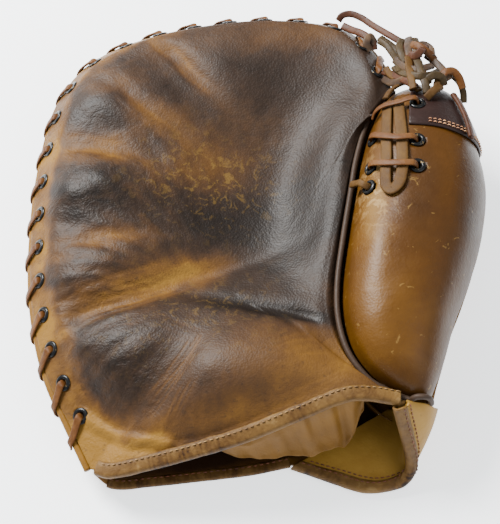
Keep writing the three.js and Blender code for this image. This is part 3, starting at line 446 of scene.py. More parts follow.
def wall(name, outer, inner, closed=False, poles=None, holes=(), hole_radius=0.0):
    """A closed skin between two grids of places, in millimetres, with round holes through it."""
    rows, columns = outer.shape[:2]
    outer, inner = outer.copy(), inner.copy()
    index = np.arange(rows * columns).reshape(rows, columns)
    beside = np.roll(index, -1, 1) if closed else index[:, 1:]
    here = index if closed else index[:, :-1]
    cells = np.stack([here[:-1], beside[:-1], beside[1:], here[1:]], -1).reshape(-1, 4)
    middle = (outer + inner).reshape(-1, 3)[cells].mean(1) / 2
    kept = np.ones(len(cells), bool)
    for centre, up in holes:
        off = middle - centre
        aside = off - (off @ up)[:, None] * up
        near = (np.linalg.norm(aside, axis=1) < hole_radius) & (np.abs(off @ up) < 12)
        kept &= ~near
    for grid in (outer, inner):
        flat = grid.reshape(-1, 3)
        for centre, up in holes:
            off = flat - centre
            along = off @ up
            aside = off - along[:, None] * up
            r = np.linalg.norm(aside, axis=1)
            push = (r < hole_radius) & (r > 1e-6) & (np.abs(along) < 12)
            flat[push] += aside[push] * (hole_radius / r[push] - 1)[:, None]
    cells = cells[kept]
    count = rows * columns
    edges = np.concatenate([cells[:, [i, (i + 1) % 4]] for i in range(4)])
    if poles is not None:
        last = index[-1]
        fan = np.stack([last, np.roll(last, -1)], -1)
        edges = np.concatenate([edges, fan[:, ::-1]])
    code = edges[:, 0] * count + edges[:, 1]
    back = edges[:, 1] * count + edges[:, 0]
    border = edges[~np.isin(code, back)]
    if poles is not None:
        ring = set(last.tolist())
        border = border[[not (a in ring and b in ring) for a, b in border]]
    sides = np.stack([border[:, 1], border[:, 0], border[:, 0] + count, border[:, 1] + count], -1)
    faces = cells.tolist() + (cells[:, ::-1] + count).tolist() + sides.tolist()
    places = [outer.reshape(-1, 3), inner.reshape(-1, 3)]
    if poles is not None:
        places.append(np.array(poles, float))
        top, under = 2 * count, 2 * count + 1
        faces += [(a, b, top) for a, b in fan.tolist()]
        faces += [(b + count, a + count, under) for a, b in fan.tolist()]
    return mesh_piece(name, np.concatenate(places), faces)


kept_rows = {}


def mesh_piece(name, places, faces):
    """A mesh object from places in millimetres in the layout's frame, its faces turned outwards."""
    places = np.asarray(places, float)
    used = np.zeros(len(places), bool)
    for face in faces:
        for k in face:
            used[k] = True
    renumber = np.cumsum(used) - 1
    faces = [[int(renumber[k]) for k in face] for face in faces]
    places = places[used]
    corners = np.array([(f[0], f[i], f[i + 1]) for f in faces for i in range(1, len(f) - 1)])
    a, b, c = (places[corners[:, k]] for k in range(3))
    if np.einsum("ij,ij->i", a, np.cross(b, c)).sum() < 0:
        faces = [face[::-1] for face in faces]
    mesh = bpy.data.meshes.new(name)
    mesh.from_pydata(((places + layout_shift) * millimetre).tolist(), [], faces)
    mesh.polygons.foreach_set("use_smooth", [True] * len(mesh.polygons))
    mesh.update()
    piece = bpy.data.objects.new(name, mesh)
    bpy.context.scene.collection.objects.link(piece)
    kept_rows[name] = used
    return piece


def paint(piece, name, values):
    """Stores a value for each place of a piece, for its material."""
    values = np.asarray(values, float).ravel()[kept_rows[piece.name]]
    layer = piece.data.attributes.new(name, "FLOAT", "POINT")
    layer.data.foreach_set("value", values.astype(np.float32))


rim_levels = np.linspace(0, rim_length, 330, endpoint=False)
seam_levels = np.linspace(seam_start - 1.2, seam_end + 1.2, 84)
lip_levels = np.linspace(0, lip_length, 90, endpoint=False)
palm_seam_gap = 1.7
palm_edges = joined([rim_edge(rim_levels), seam_edge(seam_levels, palm_seam_gap), lip_edge(lip_levels)])
along_seam = np.concatenate([0 * rim_levels, 0 * seam_levels + 1, 0 * lip_levels])
along_rim = np.concatenate([0 * rim_levels + 1, 0 * seam_levels, 0 * lip_levels])
# Each place of the edge starts a ray to the pocket. Rays that double back at the thumb's foot go.
turn = np.unwrap(np.arctan2(palm_edges["y"] - palm_pole[1], palm_edges["x"] - palm_pole[0]))
turn = turn * np.sign(turn[-1] - turn[0])
onward = turn > np.concatenate([[turn[0] - 1], np.maximum.accumulate(turn)[:-1] + 0.002])
onward = onward | (np.arange(len(turn)) < len(rim_levels) + 20)
palm_edges = {name: values[onward] for name, values in palm_edges.items()}
along_seam, along_rim = along_seam[onward], along_rim[onward]
flange_rings, pad_rings = 20, 60
outer_share = np.linspace(0, 1, flange_rings, endpoint=False)
inner_share = np.linspace(0, 1, pad_rings, endpoint=False) ** 1.12
edge_band = palm_edges["flange"] + 5
palm_depths = np.concatenate([
    outer_share[:, None] * edge_band,
    edge_band + inner_share[:, None] * (span_of(palm_edges) - edge_band) * 0.985,
])


def edge_frame(edge_at, s):
    """The frame along a leather edge: its face, and the ways along, inward, out and up from it."""
    e = edge_at(s)
    face = palm_top(e, 0 * e["x"])
    along = unit(palm_top(edge_at(s + 1), 0 * s) - palm_top(edge_at(s - 1), 0 * s))
    inward = unit(palm_top(e, e["flange"]) - face)
    out = -inward - along * np.sum(-inward * along, -1, keepdims=True)
    out = unit(out)
    up = np.cross(along, out)
    up = up * np.sign(up[..., 2:3])
    return along, inward, out, up, face


eyelet = {"hole": 2.7, "inset": 8}
cut_radius = eyelet["hole"] + 0.9
rim_eyelets = {"count": 21, "first": 26, "last": 18}
eyelet_pitch = (rim_length - rim_eyelets["first"] - rim_eyelets["last"]) / (rim_eyelets["count"] - 1)
eyelet_levels = rim_eyelets["first"] + eyelet_pitch * np.arange(rim_eyelets["count"])
_, hole_inward, _, hole_up, hole_face = edge_frame(rim_edge, eyelet_levels)
rim_holes = list(zip(hole_face + hole_inward * eyelet["inset"], hole_up))


def evened(place, depths):
    """Heights smoothed with a round brush, more and more towards the pocket."""
    cell, brush, reach = 2.5, 11.0, 9
    corner = place[..., :2].reshape(-1, 2).min(0) - cell * (reach + 1)
    at = np.round((place[..., :2] - corner) / cell).astype(int)
    total, count = np.zeros((2, *(at.reshape(-1, 2).max(0) + reach + 2)))
    np.add.at(total, (at[..., 0], at[..., 1]), place[..., 2])
    np.add.at(count, (at[..., 0], at[..., 1]), 1)
    mean, filled = total / np.maximum(count, 1), count > 0
    heights, weights = 0, 0
    for i, j in itertools.product(range(-reach, reach + 1), repeat=2):
        column, row = at[..., 0] + i, at[..., 1] + j
        gap = np.hypot(corner[0] + column * cell - place[..., 0], corner[1] + row * cell - place[..., 1])
        weight = filled[column, row] * np.exp(-((gap / brush) ** 2))
        heights, weights = heights + weight * mean[column, row], weights + weight
    return between(place[..., 2], heights / weights, ease((depths - 8) / 30))


palm_base = palm_top(palm_edges, palm_depths)
palm_face = palm_top(palm_edges, palm_depths, fine=True)
palm_face[..., 2] += evened(palm_base, palm_depths) - palm_base[..., 2]
# Where the rim and the wrist's lip meet the thumb's seam, the face runs on without a fold.
ray_numbers = np.arange(palm_face.shape[1])[:, None]
beside = np.exp(-(((ray_numbers - np.flatnonzero(np.diff(along_seam))) / 8) ** 2)).sum(-1)
beside = 0.5 * (beside * ease((palm_depths - 24) / 20))[..., None]
for _ in range(60):
    palm_face += beside * ((np.roll(palm_face, 1, 1) + np.roll(palm_face, -1, 1)) / 2 - palm_face)
seam_roll = {"drop": 3.4, "reach": 5.5}
rolled = seam_roll["drop"] * (1 - ease(palm_depths / seam_roll["reach"])) * along_seam
palm_face[..., 2] -= rolled
pad_depth = between(leather, palm_pad["thickness"], ease((palm_depths - palm_edges["flange"]) / 34))
palm_under = sunk(palm_top(palm_edges, palm_depths), palm_edges, palm_depths, pad_depth, 20)
palm_under[..., 2] -= rolled
palm_poles = [palm_face[-1].mean(0), palm_under[-1].mean(0)]
palm = wall("palm", palm_face, palm_under, True, palm_poles, rim_holes, cut_radius)

palm_x, palm_y = palm_face[..., 0], palm_face[..., 1]
_, bared_and_shaded = creases(palm_x, palm_y)
_, streaks = folds(palm_x, palm_y)
past_flange = palm_depths - palm_edges["flange"]
warped_x = palm_x + 3.5 * ripple(palm_x, palm_y, 8, 3.1) + 1.6 * ripple(palm_x, palm_y, 3.2, 0.3)
warped_y = palm_y + 3.0 * ripple(palm_x, palm_y, 7, 5.2) + 1.6 * ripple(palm_x, palm_y, 3.0, 4.0)
# Patches of wear and oil, with painted shade along the crease at the thumb's foot.
wear = ovals(wear_and_shade_rows, "amount", warped_x, warped_y)
ragged = past_flange + 5.0 * ripple(palm_x, palm_y, 9, 1.1) + 3.0 * ripple(palm_x, palm_y, 3.5, 2.6)
flange_tone = (1 - ease((ragged + 3) / 13)) * along_rim * ease((-0.30 - palm_x / X(1)) / 0.45)
corner_tone = (1 - ease((ragged + 2) / 9)) * ease((-0.25 - palm_x / X(1)) / 0.2)
# The palm's tone: wear, paler bared creases and the pale flat corner, with painted shade darkening some
# creases.
worn = 0.285 + wear + 0.6 * bared_and_shaded + 0.10 * streaks + 0.56 * corner_tone - 0.06 * flange_tone
under_tone = 0 * worn + 0.3
poles_tone = [worn[-1].mean(), 0.3]
paint(palm, "worn", np.concatenate([worn.ravel(), under_tone.ravel(), poles_tone]))
scuffs = np.exp(-(((palm_x - X(-0.2)) / 38) ** 2) - ((palm_y - Y(0.2)) / 26) ** 2)
scuffs = scuffs + 0.5 * np.exp(-(((palm_x - X(-0.3)) / 50) ** 2) - ((palm_y - Y(-0.4)) / 30) ** 2)
paint(palm, "scuffed", np.concatenate([scuffs.ravel(), 0 * scuffs.ravel(), [0, 0]]))
out_x, out_y = palm_x - palm_pole[0], palm_y - palm_pole[1]
out_reach = np.maximum(np.hypot(out_x, out_y), 1)
creased = ease((out_reach - 30) / 45) * ease((0.15 - out_x / out_reach) / 0.9)
ray_tones = {"ray_x": out_x / out_reach, "ray_y": out_y / out_reach, "ray": out_reach / 100}
for name, value in {**ray_tones, "creased": creased}.items():
    paint(palm, name, np.concatenate([value.ravel(), value.ravel(), [0, 0]]))


class Wire:
    """One output of a material's node: its sums and products are Math nodes."""

    def __init__(self, finish, socket):
        self.finish = finish
        self.socket = socket

    def maths(self, operation, *others, **settings):
        wires = dict(enumerate((self, *others)))
        return self.finish.node("ShaderNodeMath", {"operation": operation, **settings}, wires)

    def __add__(self, other):
        return self.maths("ADD", other)

    def __sub__(self, other):
        return self.maths("SUBTRACT", other)

    def __mul__(self, other):
        return self.maths("MULTIPLY", other)

    def __rsub__(self, other):
        return self.finish.node("ShaderNodeMath", {"operation": "SUBTRACT"}, {0: other, 1: self})

    __radd__ = __add__
    __rmul__ = __mul__

    def __pow__(self, power):
        return self.maths("POWER", power)

    def within(self, low, high):
        """0 below low, 1 above high, and a smooth way between."""
        settings = {"interpolation_type": "SMOOTHSTEP", "clamp": True}
        sockets = {"Value": self, "From Min": low, "From Max": high}
        return self.finish.node("ShaderNodeMapRange", settings, sockets)

    def held(self):
        return self.finish.node("ShaderNodeClamp", {}, {"Value": self})


class Finish:
    """A material under construction."""

    def __init__(self, name):
        self.material = bpy.data.materials.new(name)
        self.material.use_nodes = True
        self.tree = self.material.node_tree
        self.shader = self.tree.nodes["Principled BSDF"]
        self.place = self.node("ShaderNodeTexCoord", {}, {}, "Object")

    def node(self, kind, settings, sockets, output=0):
        made = self.tree.nodes.new(kind)
        for name, value in settings.items():
            if name == "stops":
                ramp = made.color_ramp
                for at, tone in value[1:-1]:
                    ramp.elements.new(at)
                for element, (at, tone) in zip(ramp.elements, value):
                    element.position = at
                    element.color = (*tone, 1)
            else:
                setattr(made, name, value)
        for name, value in sockets.items():
            if isinstance(value, Wire):
                self.tree.links.new(value.socket, made.inputs[name])
            else:
                made.inputs[name].default_value = value
        return Wire(self, made.outputs[output])

    def painted(self, name):
        return self.node("ShaderNodeAttribute", {"attribute_name": name}, {}, "Fac")

    def stretched(self, scale, turn=0.0):
        """The object's coordinates, scaled and turned, for grain that runs one way."""
        sockets = {"Vector": self.place, "Scale": scale, "Rotation": (0, 0, math.radians(turn))}
        return self.node("ShaderNodeMapping", {"vector_type": "TEXTURE"}, sockets)

    def clouds(self, scale, detail=4, rough=0.6, warp=0.0, place=None):
        sockets = {"Vector": place or self.place, "Scale": scale, "Detail": detail}
        return self.node("ShaderNodeTexNoise", {}, {**sockets, "Roughness": rough, "Distortion": warp})

    def cells(self, scale, feature="SMOOTH_F1", place=None, smooth=0.4):
        sockets = {"Vector": place or self.place, "Scale": scale}
        if feature == "SMOOTH_F1":
            sockets["Smoothness"] = smooth
        return self.node("ShaderNodeTexVoronoi", {"feature": feature}, sockets, "Distance")

    def ramp(self, value, stops):
        return self.node("ShaderNodeValToRGB", {"stops": stops}, {"Fac": value})

    def blend(self, factor, a, b, mode="MIX"):
        tint = lambda c: c if isinstance(c, Wire) else (*c, 1)
        settings = {"data_type": "RGBA", "blend_type": mode}
        return self.node("ShaderNodeMix", settings, {0: factor, 6: tint(a), 7: tint(b)}, 2)

    def relief(self, height, depth, after=None):
        """A bump whose height of 1 stands for a depth in millimetres."""
        sockets = {"Height": height, "Distance": depth * millimetre, "Strength": 1.0}
        if after:
            sockets["Normal"] = after
        return self.node("ShaderNodeBump", {}, sockets, "Normal")

    def wear(self, colour, roughness, normal, fixed):
        for name, value in {"Base Color": colour, "Roughness": roughness, "Normal": normal}.items():
            if isinstance(value, Wire):
                self.tree.links.new(value.socket, self.shader.inputs[name])
            elif value is not None:
                self.shader.inputs[name].default_value = value if name == "Roughness" else (*value, 1)
        for name, value in fixed.items():
            self.shader.inputs[name].default_value = value
        return self.material


def finished(piece, material, slot, *nodes):
    """Gives a piece its material and its place on the frame."""
    piece.data.materials.clear()
    piece.data.materials.append(material)
    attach(piece, "root")
    if nodes:
        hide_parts(*nodes)
    return piece


palm_tones = [
    (0.00, (0.007, 0.0042, 0.0028)),
    (0.22, (0.019, 0.0100, 0.0055)),
    (0.42, (0.040, 0.0185, 0.0068)),
    (0.62, (0.070, 0.0310, 0.0070)),
    (0.82, (0.115, 0.0520, 0.0080)),
    (1.00, (0.180, 0.0900, 0.0130)),
]
palm_finish = Finish("palm_leather")
ray_axes = {"X": "ray_x", "Y": "ray_y", "Z": "ray"}
ray_sockets = {axis: palm_finish.painted(name) for axis, name in ray_axes.items()}
ray_place = palm_finish.node("ShaderNodeCombineXYZ", {}, ray_sockets)
streaks = palm_finish.clouds(7.5, 5, 0.62, 0.5, ray_place)
clouds = palm_finish.clouds(16, 5, 0.62, 0.6)
mottle = palm_finish.clouds(75, 5, 0.65, 0.4)
speckle = palm_finish.clouds(420, 3, 0.6)
grain = palm_finish.cells(900, smooth=0.5)
streaky = (streaks - 0.5) * palm_finish.painted("creased")
tone = palm_finish.painted("worn") + 0.62 * streaky + 0.34 * (clouds - 0.5)
tone = tone + 0.34 * (mottle - 0.5) + 0.18 * (speckle - 0.5)
palm_colour = palm_finish.ramp(tone.held(), palm_tones)
scuff_marks = palm_finish.clouds(190, 4, 0.7, 0.8).within(0.52, 0.66) * palm_finish.painted("scuffed")
palm_colour = palm_finish.blend((0.45 * scuff_marks).held(), palm_colour, (0.170, 0.100, 0.018))
scratch_place = palm_finish.stretched((1.0, 14.0, 1.0), 52)
scratches = palm_finish.clouds(34, 2, 0.5, 0.3, scratch_place).within(0.70, 0.74)
palm_colour = palm_finish.blend(0.30 * scratches, palm_colour, (0.21, 0.12, 0.035))
pits = 1 - palm_finish.clouds(260, 3, 0.6).within(0.30, 0.38)
palm_colour = palm_finish.blend(0.4 * pits, palm_colour, (0.020, 0.011, 0.006))
palm_gloss = 0.36 + 0.14 * mottle + 0.22 * palm_finish.painted("worn").held() * clouds + 0.08 * speckle
skin = palm_finish.relief(streaky, 1.3)
skin = palm_finish.relief(palm_finish.clouds(190, 4, 0.5, 0.8), 0.20, skin)
skin = palm_finish.relief(grain, 0.12, skin)
finished(palm, palm_finish.wear(palm_colour, palm_gloss, skin, {"IOR": 1.27}), "palm_leather", "palm_pad")


# The back is one flat panel of the same cowhide, unpadded, that lies on the ground. Its edge turns
# up to meet the palm's flange along the rim and is sewn up the side of the thumb.
back_panel = {"thickness": 2.2, "fall": 34}
back_lip_rows = table("x y z", [
    (0.150, -0.880, 0.002),
    (-0.02, -0.913, 0.004),
    (-0.22, -0.937, 0.008),
    (-0.42, -0.960, 0.020),
    (-0.58, -0.978, 0.070),
    (-0.66, -0.940, 0.165),
])
back_seam_rows = table("y z", [
    (0.545, 0.60),
    (0.500, 0.42),
    (0.430, 0.22),
    (0.340, 0.09),
    (0.233, 0.03),
    (0.100, 0.03),
    (-0.115, 0.03),
    (-0.295, 0.03),
    (-0.434, 0.03),
    (-0.560, 0.03),
    (-0.650, 0.03),
    (-0.704, 0.03),
])


def thumb_left(y, z):
    """The left side of the thumb's outside at a height."""
    row = row_at(thumb_rows, "y", y / Y(1))
    middle, half = X(row["left"] + row["right"]) / 2, X(row["right"] - row["left"]) / 2
    foot, mid, top = Z(row["foot"]), Z(row["mid"]), Z(row["top"])
    reach = np.where(z >= mid, top - mid, mid - foot + thumb["sole"])
    power = np.where(z >= mid, thumb["upper"], thumb["lower"])
    share = np.clip(np.abs(z - mid) / reach, 0, 1)
    return middle - half * (1 - share**power) ** (1 / power)


def flat_edge(x, y, z):
    x, y, z = np.broadcast_arrays(x, y, z)
    flat = {name: 0.0 * x for name in ("flange", "slope", "rise", "seam")}
    return {"x": x * 1.0, "y": y * 1.0, "z": z * 1.0, **flat}


back_rim = rim_edge(rim_levels)
at_edge = 0 * rim_levels
back_rim_place = sunk(palm_top(back_rim, at_edge), back_rim, at_edge, stack + at_edge, 1)
back_rim["x"], back_rim["y"], back_rim["z"] = (back_rim_place[:, k] for k in range(3))
back_rim["slope"] = back_rim["slope"] * ease(rim_levels / 24)
back_seam_y = np.linspace(Y(back_seam_rows["y"][0]), Y(back_seam_rows["y"][-1]), 60)
back_seam_z = Z(row_at(back_seam_rows, "y", back_seam_y / Y(1))["z"])
back_seam_x = thumb_left(back_seam_y, back_seam_z + clearance) - 0.7 * clearance
back_seam_x = np.minimum(back_seam_x, X(rim_rows["x"][-1]))
back_side = flat_edge(back_seam_x, back_seam_y, np.maximum(back_seam_z - back_panel["thickness"], 0))
# The foot of the back runs on a little way under the cuff.
across = np.linspace(0, 1, 14)[1:-1]
under_cuff = 4 * np.sin(math.pi * across) ** 0.3
back_foot_x = between(back_seam_x[-1], X(0.15), across) + 0.58 * under_cuff
back_foot = flat_edge(back_foot_x, between(back_seam_y[-1], Y(-0.88), across) - 0.81 * under_cuff, 0)
back_lip = measured(back_lip_rows)
back_lip_s = np.linspace(0, back_lip["s"][-1], 60, endpoint=False)
back_heel = row_at(back_lip, "s", back_lip_s)
back_heel = flat_edge(X(back_heel["x"]), Y(back_heel["y"]), np.maximum(Z(back_heel["z"]), 0))
back_edges = joined([back_rim, back_side, back_foot, back_heel])


def back_under(edge, d):
    share = d / span_of(edge)
    x, y = between(edge["x"], palm_pole[0], share), between(edge["y"], palm_pole[1], share)
    level = edge["z"] + edge["slope"] * np.minimum(d, edge["flange"])
    fall = ease((d - edge["flange"]) / back_panel["fall"])
    return points(x, y, np.maximum(level * (1 - fall), 0))


back_band = back_edges["flange"] + back_panel["fall"]
back_depths = np.concatenate([
    np.linspace(0, 1, 34, endpoint=False)[:, None] * back_band,
    back_band + np.linspace(0, 1, 24, endpoint=False)[:, None] * (span_of(back_edges) - back_band) * 0.98,
])
back_low = back_under(back_edges, back_depths)
lifted = 0.5 * (1 + ripple(back_low[..., 0], back_low[..., 1], 13, 1.3)) * ease(back_depths / 30)
back_low[..., 2] += lifted * ease((back_low[..., 2] - 0.2) / 4)
back_lift = 0 * back_depths - back_panel["thickness"]
back_high = sunk(back_low, back_edges, back_depths, back_lift, back_panel["fall"])
back_poles = [back_high[-1].mean(0), back_low[-1].mean(0)]
back = wall("back", back_high, back_low, True, back_poles, rim_holes, cut_radius)

tan_tones = [
    (0.00, (0.018, 0.007, 0.0018)),
    (0.25, (0.052, 0.021, 0.0030)),
    (0.50, (0.120, 0.053, 0.0050)),
    (0.75, (0.190, 0.090, 0.0090)),
    (1.00, (0.270, 0.150, 0.0250)),
]


def tan_leather(name, tones, base, grain_scale=820, rough=0.46, crinkles=0.25):
    """Smooth tanned cowhide: clouds of oil and wear, fine grain, dark pits and pale scratches.
    A piece's painted soiling and painted shade darken it.
    """
    finish = Finish(name)
    clouds, mottle = finish.clouds(19, 5, 0.6, 0.7), finish.clouds(90, 5, 0.6, 0.3)
    tone = base + 0.60 * (clouds - 0.5) + 0.30 * (mottle - 0.5) - finish.painted("soiled_and_shaded")
    colour = finish.ramp(tone.held(), tones)
    spots = 1 - finish.clouds(150, 4, 0.7, 0.5).within(0.29, 0.37)
    colour = finish.blend(0.5 * spots, colour, (0.035, 0.016, 0.005))
    lines = finish.clouds(30, 2, 0.5, 0.4, finish.stretched((1.0, 12.0, 1.0), 35)).within(0.69, 0.73)
    colour = finish.blend(0.3 * lines, colour, (0.30, 0.18, 0.06))
    normal = finish.relief(finish.clouds(110, 4, 0.55, 1.0), crinkles)
    normal = finish.relief(finish.cells(grain_scale), 0.07, normal)
    return finish.wear(colour, rough + 0.22 * (mottle - 0.3), normal, {"IOR": 1.27})


# The back's inner face, inside the hand's hollow, is painted darker from just in from its edge: painted
# shade of the hollow.
hollow_shade = back_high[..., 2] * 0 + 0.50 * ease((back_depths - 1) / 7)
paint(back, "soiled_and_shaded", np.concatenate([hollow_shade.ravel(), 0 * hollow_shade.ravel(), [0.50, 0]]))
finished(back, tan_leather("back_leather", tan_tones, 0.50), "tan_leather", "back_panel")

# The thumb's front is a separate padded stall of smooth tan leather, thin along its seams and thick
# between them. It is sewn to the palm down its left side and closed by lacing near its tip.
thumb_pad = {"thickness": 8, "tuck": 1.6}
thumb_foot, thumb_tip = Y(thumb_rows["y"][0]) + 1, Y(thumb_rows["y"][-1])
end_spacing = np.sin(np.linspace(-math.pi / 2, math.pi / 2, 190)) / 2 + 0.5
thumb_levels = thumb_foot + (thumb_tip - thumb_foot) * between(end_spacing, np.linspace(0, 1, 190), 0.35)
thumb_marks = table("x y long wide turn rise", [
    (0.53, 0.00, 0.10, 0.05, 80, -0.9),
    (0.50, -0.18, 0.16, 0.05, 84, 0.8),
    (0.66, -0.30, 0.20, 0.10, 70, -0.7),
    (0.55, -0.45, 0.14, 0.06, 60, 0.6),
    (0.84, 0.00, 0.30, 0.08, 80, 0.6),
    (0.74, 0.16, 0.16, 0.07, 30, -0.6),
])


def thumb_depths(y, angle):
    """How far the stall's face is tucked in and how thick it is: thin along its borders."""
    from_seam = np.minimum(thumb["seam"] - angle, angle - thumb["side"]) / 26
    from_ends = np.minimum(y - thumb_foot, thumb_tip - y) / 16
    full = ease(from_seam) * ease(from_ends)
    return thumb_pad["tuck"] * (1 - full), between(leather, thumb_pad["thickness"], full), full


def thumb_face(y, angle, lift=0.0):
    return thumb_point(y, angle, thumb_depths(y, angle)[0] - lift)


def thumb_frame(y, angle, lift=0.0):
    """The frame on the stall's face: a place on it and the way up from it."""
    y, angle = np.asarray(y, float), np.asarray(angle, float)
    along = unit(thumb_face(y + 1, angle, lift) - thumb_face(y - 1, angle, lift))
    round_way = unit(thumb_face(y, angle - 1, lift) - thumb_face(y, angle + 1, lift))
    up = unit(np.cross(round_way, along))
    return thumb_face(y, angle, lift), up * np.sign(up[..., 2:3] + 1e-9), along


cap_lift = clearance + 0.7 * leather
thumb_eyelets = table("y angle lift", [
    (0.410, 93.5, cap_lift),
    (0.229, 93.5, 0),
    (0.111, 93, 0),
    (0.285, 138, 0),
    (0.146, 134, 0),
    (0.056, 132.5, 0),
])
thumb_hole_y = Y(thumb_eyelets["y"])
thumb_centres, thumb_ups, _ = thumb_frame(thumb_hole_y, thumb_eyelets["angle"], thumb_eyelets["lift"])
thumb_holes = list(zip(thumb_centres, thumb_ups))
stall_angles = np.linspace(thumb["seam"] + 3, thumb["side"], 92)
stall_y, stall_angle = np.meshgrid(thumb_levels, stall_angles, indexing="ij")
tuck, thick, full = thumb_depths(stall_y, stall_angle)
stall_face = thumb_point(stall_y, stall_angle, tuck)
stall_x, stall_face_y = stall_face[..., 0], stall_face[..., 1]
marks = ovals(thumb_marks, "rise", stall_x, stall_face_y)
wave = 0.45 * ripple(stall_face_y, stall_x, 17, 0.2) + 0.10 * ripple(stall_face_y, stall_x, 5, 2.0)
swell = (marks + wave) * full - 0.5 * (1 - full)
stall_outer = thumb_point(stall_y, stall_angle, tuck - swell)
stall_inner = thumb_point(stall_y, stall_angle, tuck + thick)
thumb_front = wall("thumb_front", stall_outer, stall_inner, False, None, thumb_holes, cut_radius)

# Tone of the stall's face: worn patches, paler along the left slope where a painted highlight lies on the
# crest, and darker down the right flank.
thumb_wear_and_highlight = table("x y long wide turn amount", [
    (0.50, 0.02, 0.16, 0.06, 82, 0.30),
    (0.48, -0.22, 0.30, 0.05, 86, 0.22),
    (0.55, -0.44, 0.20, 0.12, 70, 0.14),
    (0.60, 0.32, 0.20, 0.08, 80, 0.12),
    (0.70, 0.00, 0.30, 0.12, 80, -0.10),
    (0.92, 0.05, 0.50, 0.07, 84, -0.24),
    (0.80, -0.55, 0.30, 0.06, 70, -0.10),
    (0.66, -0.10, 0.08, 0.08, 0, -0.10),
])
front_wear_and_highlight = ovals(thumb_wear_and_highlight, "amount", stall_x, stall_face_y)
paint(thumb_front, "worn", np.concatenate([(0.5 + front_wear_and_highlight).ravel(), 0.3 + 0 * front_wear_and_highlight.ravel()]))
# A pale rubbed patch on the crest of the left slope, which is also a painted highlight.
rub_and_highlight = np.exp(-(((stall_x - X(0.50)) / 9) ** 2) - ((stall_face_y - Y(0.03)) / 22) ** 2)
paint(thumb_front, "rubbed_and_highlight", np.concatenate([rub_and_highlight.ravel(), 0 * rub_and_highlight.ravel()]))
stall_finish = Finish("stall_leather")
clouds, mottle = stall_finish.clouds(15, 5, 0.6, 0.8), stall_finish.clouds(80, 5, 0.65, 0.3)
stall_tone = stall_finish.painted("worn") + 0.40 * (clouds - 0.5) + 0.24 * (mottle - 0.5)
stall_tones = [
    (0.00, (0.012, 0.0045, 0.0010)),
    (0.25, (0.030, 0.0110, 0.0012)),
    (0.48, (0.055, 0.0205, 0.0015)),
    (0.70, (0.094, 0.0390, 0.0028)),
    (1.00, (0.190, 0.1050, 0.0230)),
]
stall_colour = stall_finish.ramp(stall_tone.held(), stall_tones)
# Pale rubs on the crest, also standing as a painted highlight.
rub_and_highlight_marks = stall_finish.clouds(170, 4, 0.7, 0.6).within(0.50, 0.62) * stall_finish.painted("rubbed_and_highlight")
stall_colour = stall_finish.blend(0.75 * rub_and_highlight_marks, stall_colour, (0.30, 0.19, 0.075))
nicks = stall_finish.clouds(210, 3, 0.6, 0.8).within(0.66, 0.70)
stall_colour = stall_finish.blend(0.35 * nicks, stall_colour, (0.25, 0.15, 0.04))
stall_skin = stall_finish.relief(stall_finish.clouds(95, 5, 0.6, 1.0), 0.30)
stall_skin = stall_finish.relief(stall_finish.cells(760), 0.06, stall_skin)
stall_gloss = 0.40 + 0.20 * (mottle - 0.4) + 0.16 * stall_finish.painted("rubbed_and_highlight")
stall_material = stall_finish.wear(stall_colour, stall_gloss, stall_skin, {"IOR": 1.28})
finished(thumb_front, stall_material, "tan_leather", "thumb_pad")

# The thumb's back: one thin panel sewn to the stall's right side, under the sole and up the wall
# beside the fingers. It is the piece that the mitt lies on at its right.
back_start = Y(-0.708)
wall_levels = np.linspace(Y(-0.7165), thumb_tip, 130)
wall_end = between(-128, -187, ease((wall_levels - back_start) / Y(0.42)))
wall_share = np.linspace(0, 1, 70)
wall_angles = between(thumb["side"] - 0.4, wall_end[:, None], wall_share[None, :])
wall_y = np.broadcast_to(wall_levels[:, None], wall_angles.shape)
thumb_wall_outer = thumb_point(wall_y, wall_angles, 0)
thumb_wall = wall("thumb_back_panel", thumb_wall_outer, thumb_point(wall_y, wall_angles, leather))
finished(thumb_wall, tan_leather("thumb_back_leather", tan_tones, 0.46), "tan_leather", "thumb_back")

# The dark cap is a scuff guard of thinner leather, sewn over the thumb's tip with a double row of
# pale thread. The first lacing eyelet is set through it.
cap_rows = table("angle y", [
    (100, 0.306),
    (89, 0.300),
    (78, 0.293),
    (64, 0.283),
    (38, 0.280),
    (14, 0.285),
    (-11, 0.295),
])
cap_angles = np.linspace(100, -11, 70)
cap_edge = Y(row_at(cap_rows, "angle", cap_angles)["y"])
cap_share = (np.linspace(0, 1, 60) ** 0.9)[:, None]
cap_y = between(cap_edge[None, :], thumb_tip, cap_share)
cap_angle = np.broadcast_to(cap_angles, cap_y.shape)
cap_thick = between(0.9, cap_lift, ease((cap_y - cap_edge) / 3.0))
cap_thick = cap_thick - 0.35 * np.exp(-((((cap_y - cap_edge) - 3.1) / 0.9) ** 2))
cap_outer, cap_inner = thumb_face(cap_y, cap_angle, cap_thick), thumb_face(cap_y, cap_angle, 0.15)
cap = wall("thumb_cap_leather", cap_outer, cap_inner, False, None, thumb_holes[:1], cut_radius)
cap_tones = [
    (0.00, (0.007, 0.0035, 0.0030)),
    (0.35, (0.014, 0.0068, 0.0056)),
    (0.65, (0.026, 0.0120, 0.0090)),
    (1.00, (0.060, 0.0300, 0.0180)),
]
finished(cap, tan_leather("cap_dark_leather", cap_tones, 0.42, 760, 0.36, 0.2), "cap_leather", "thumb_cap")


def strip_faces(stations, sides, first=0):
    """The faces between a closed strip's rings of places, with both its ends."""
    index = first + np.arange(stations * sides).reshape(stations, sides)
    after = np.roll(index, -1, 1)
    faces = np.stack([index[:-1], after[:-1], after[1:], index[1:]], -1).reshape(-1, 4).tolist()
    return faces + [index[0][::-1].tolist(), index[-1].tolist()]


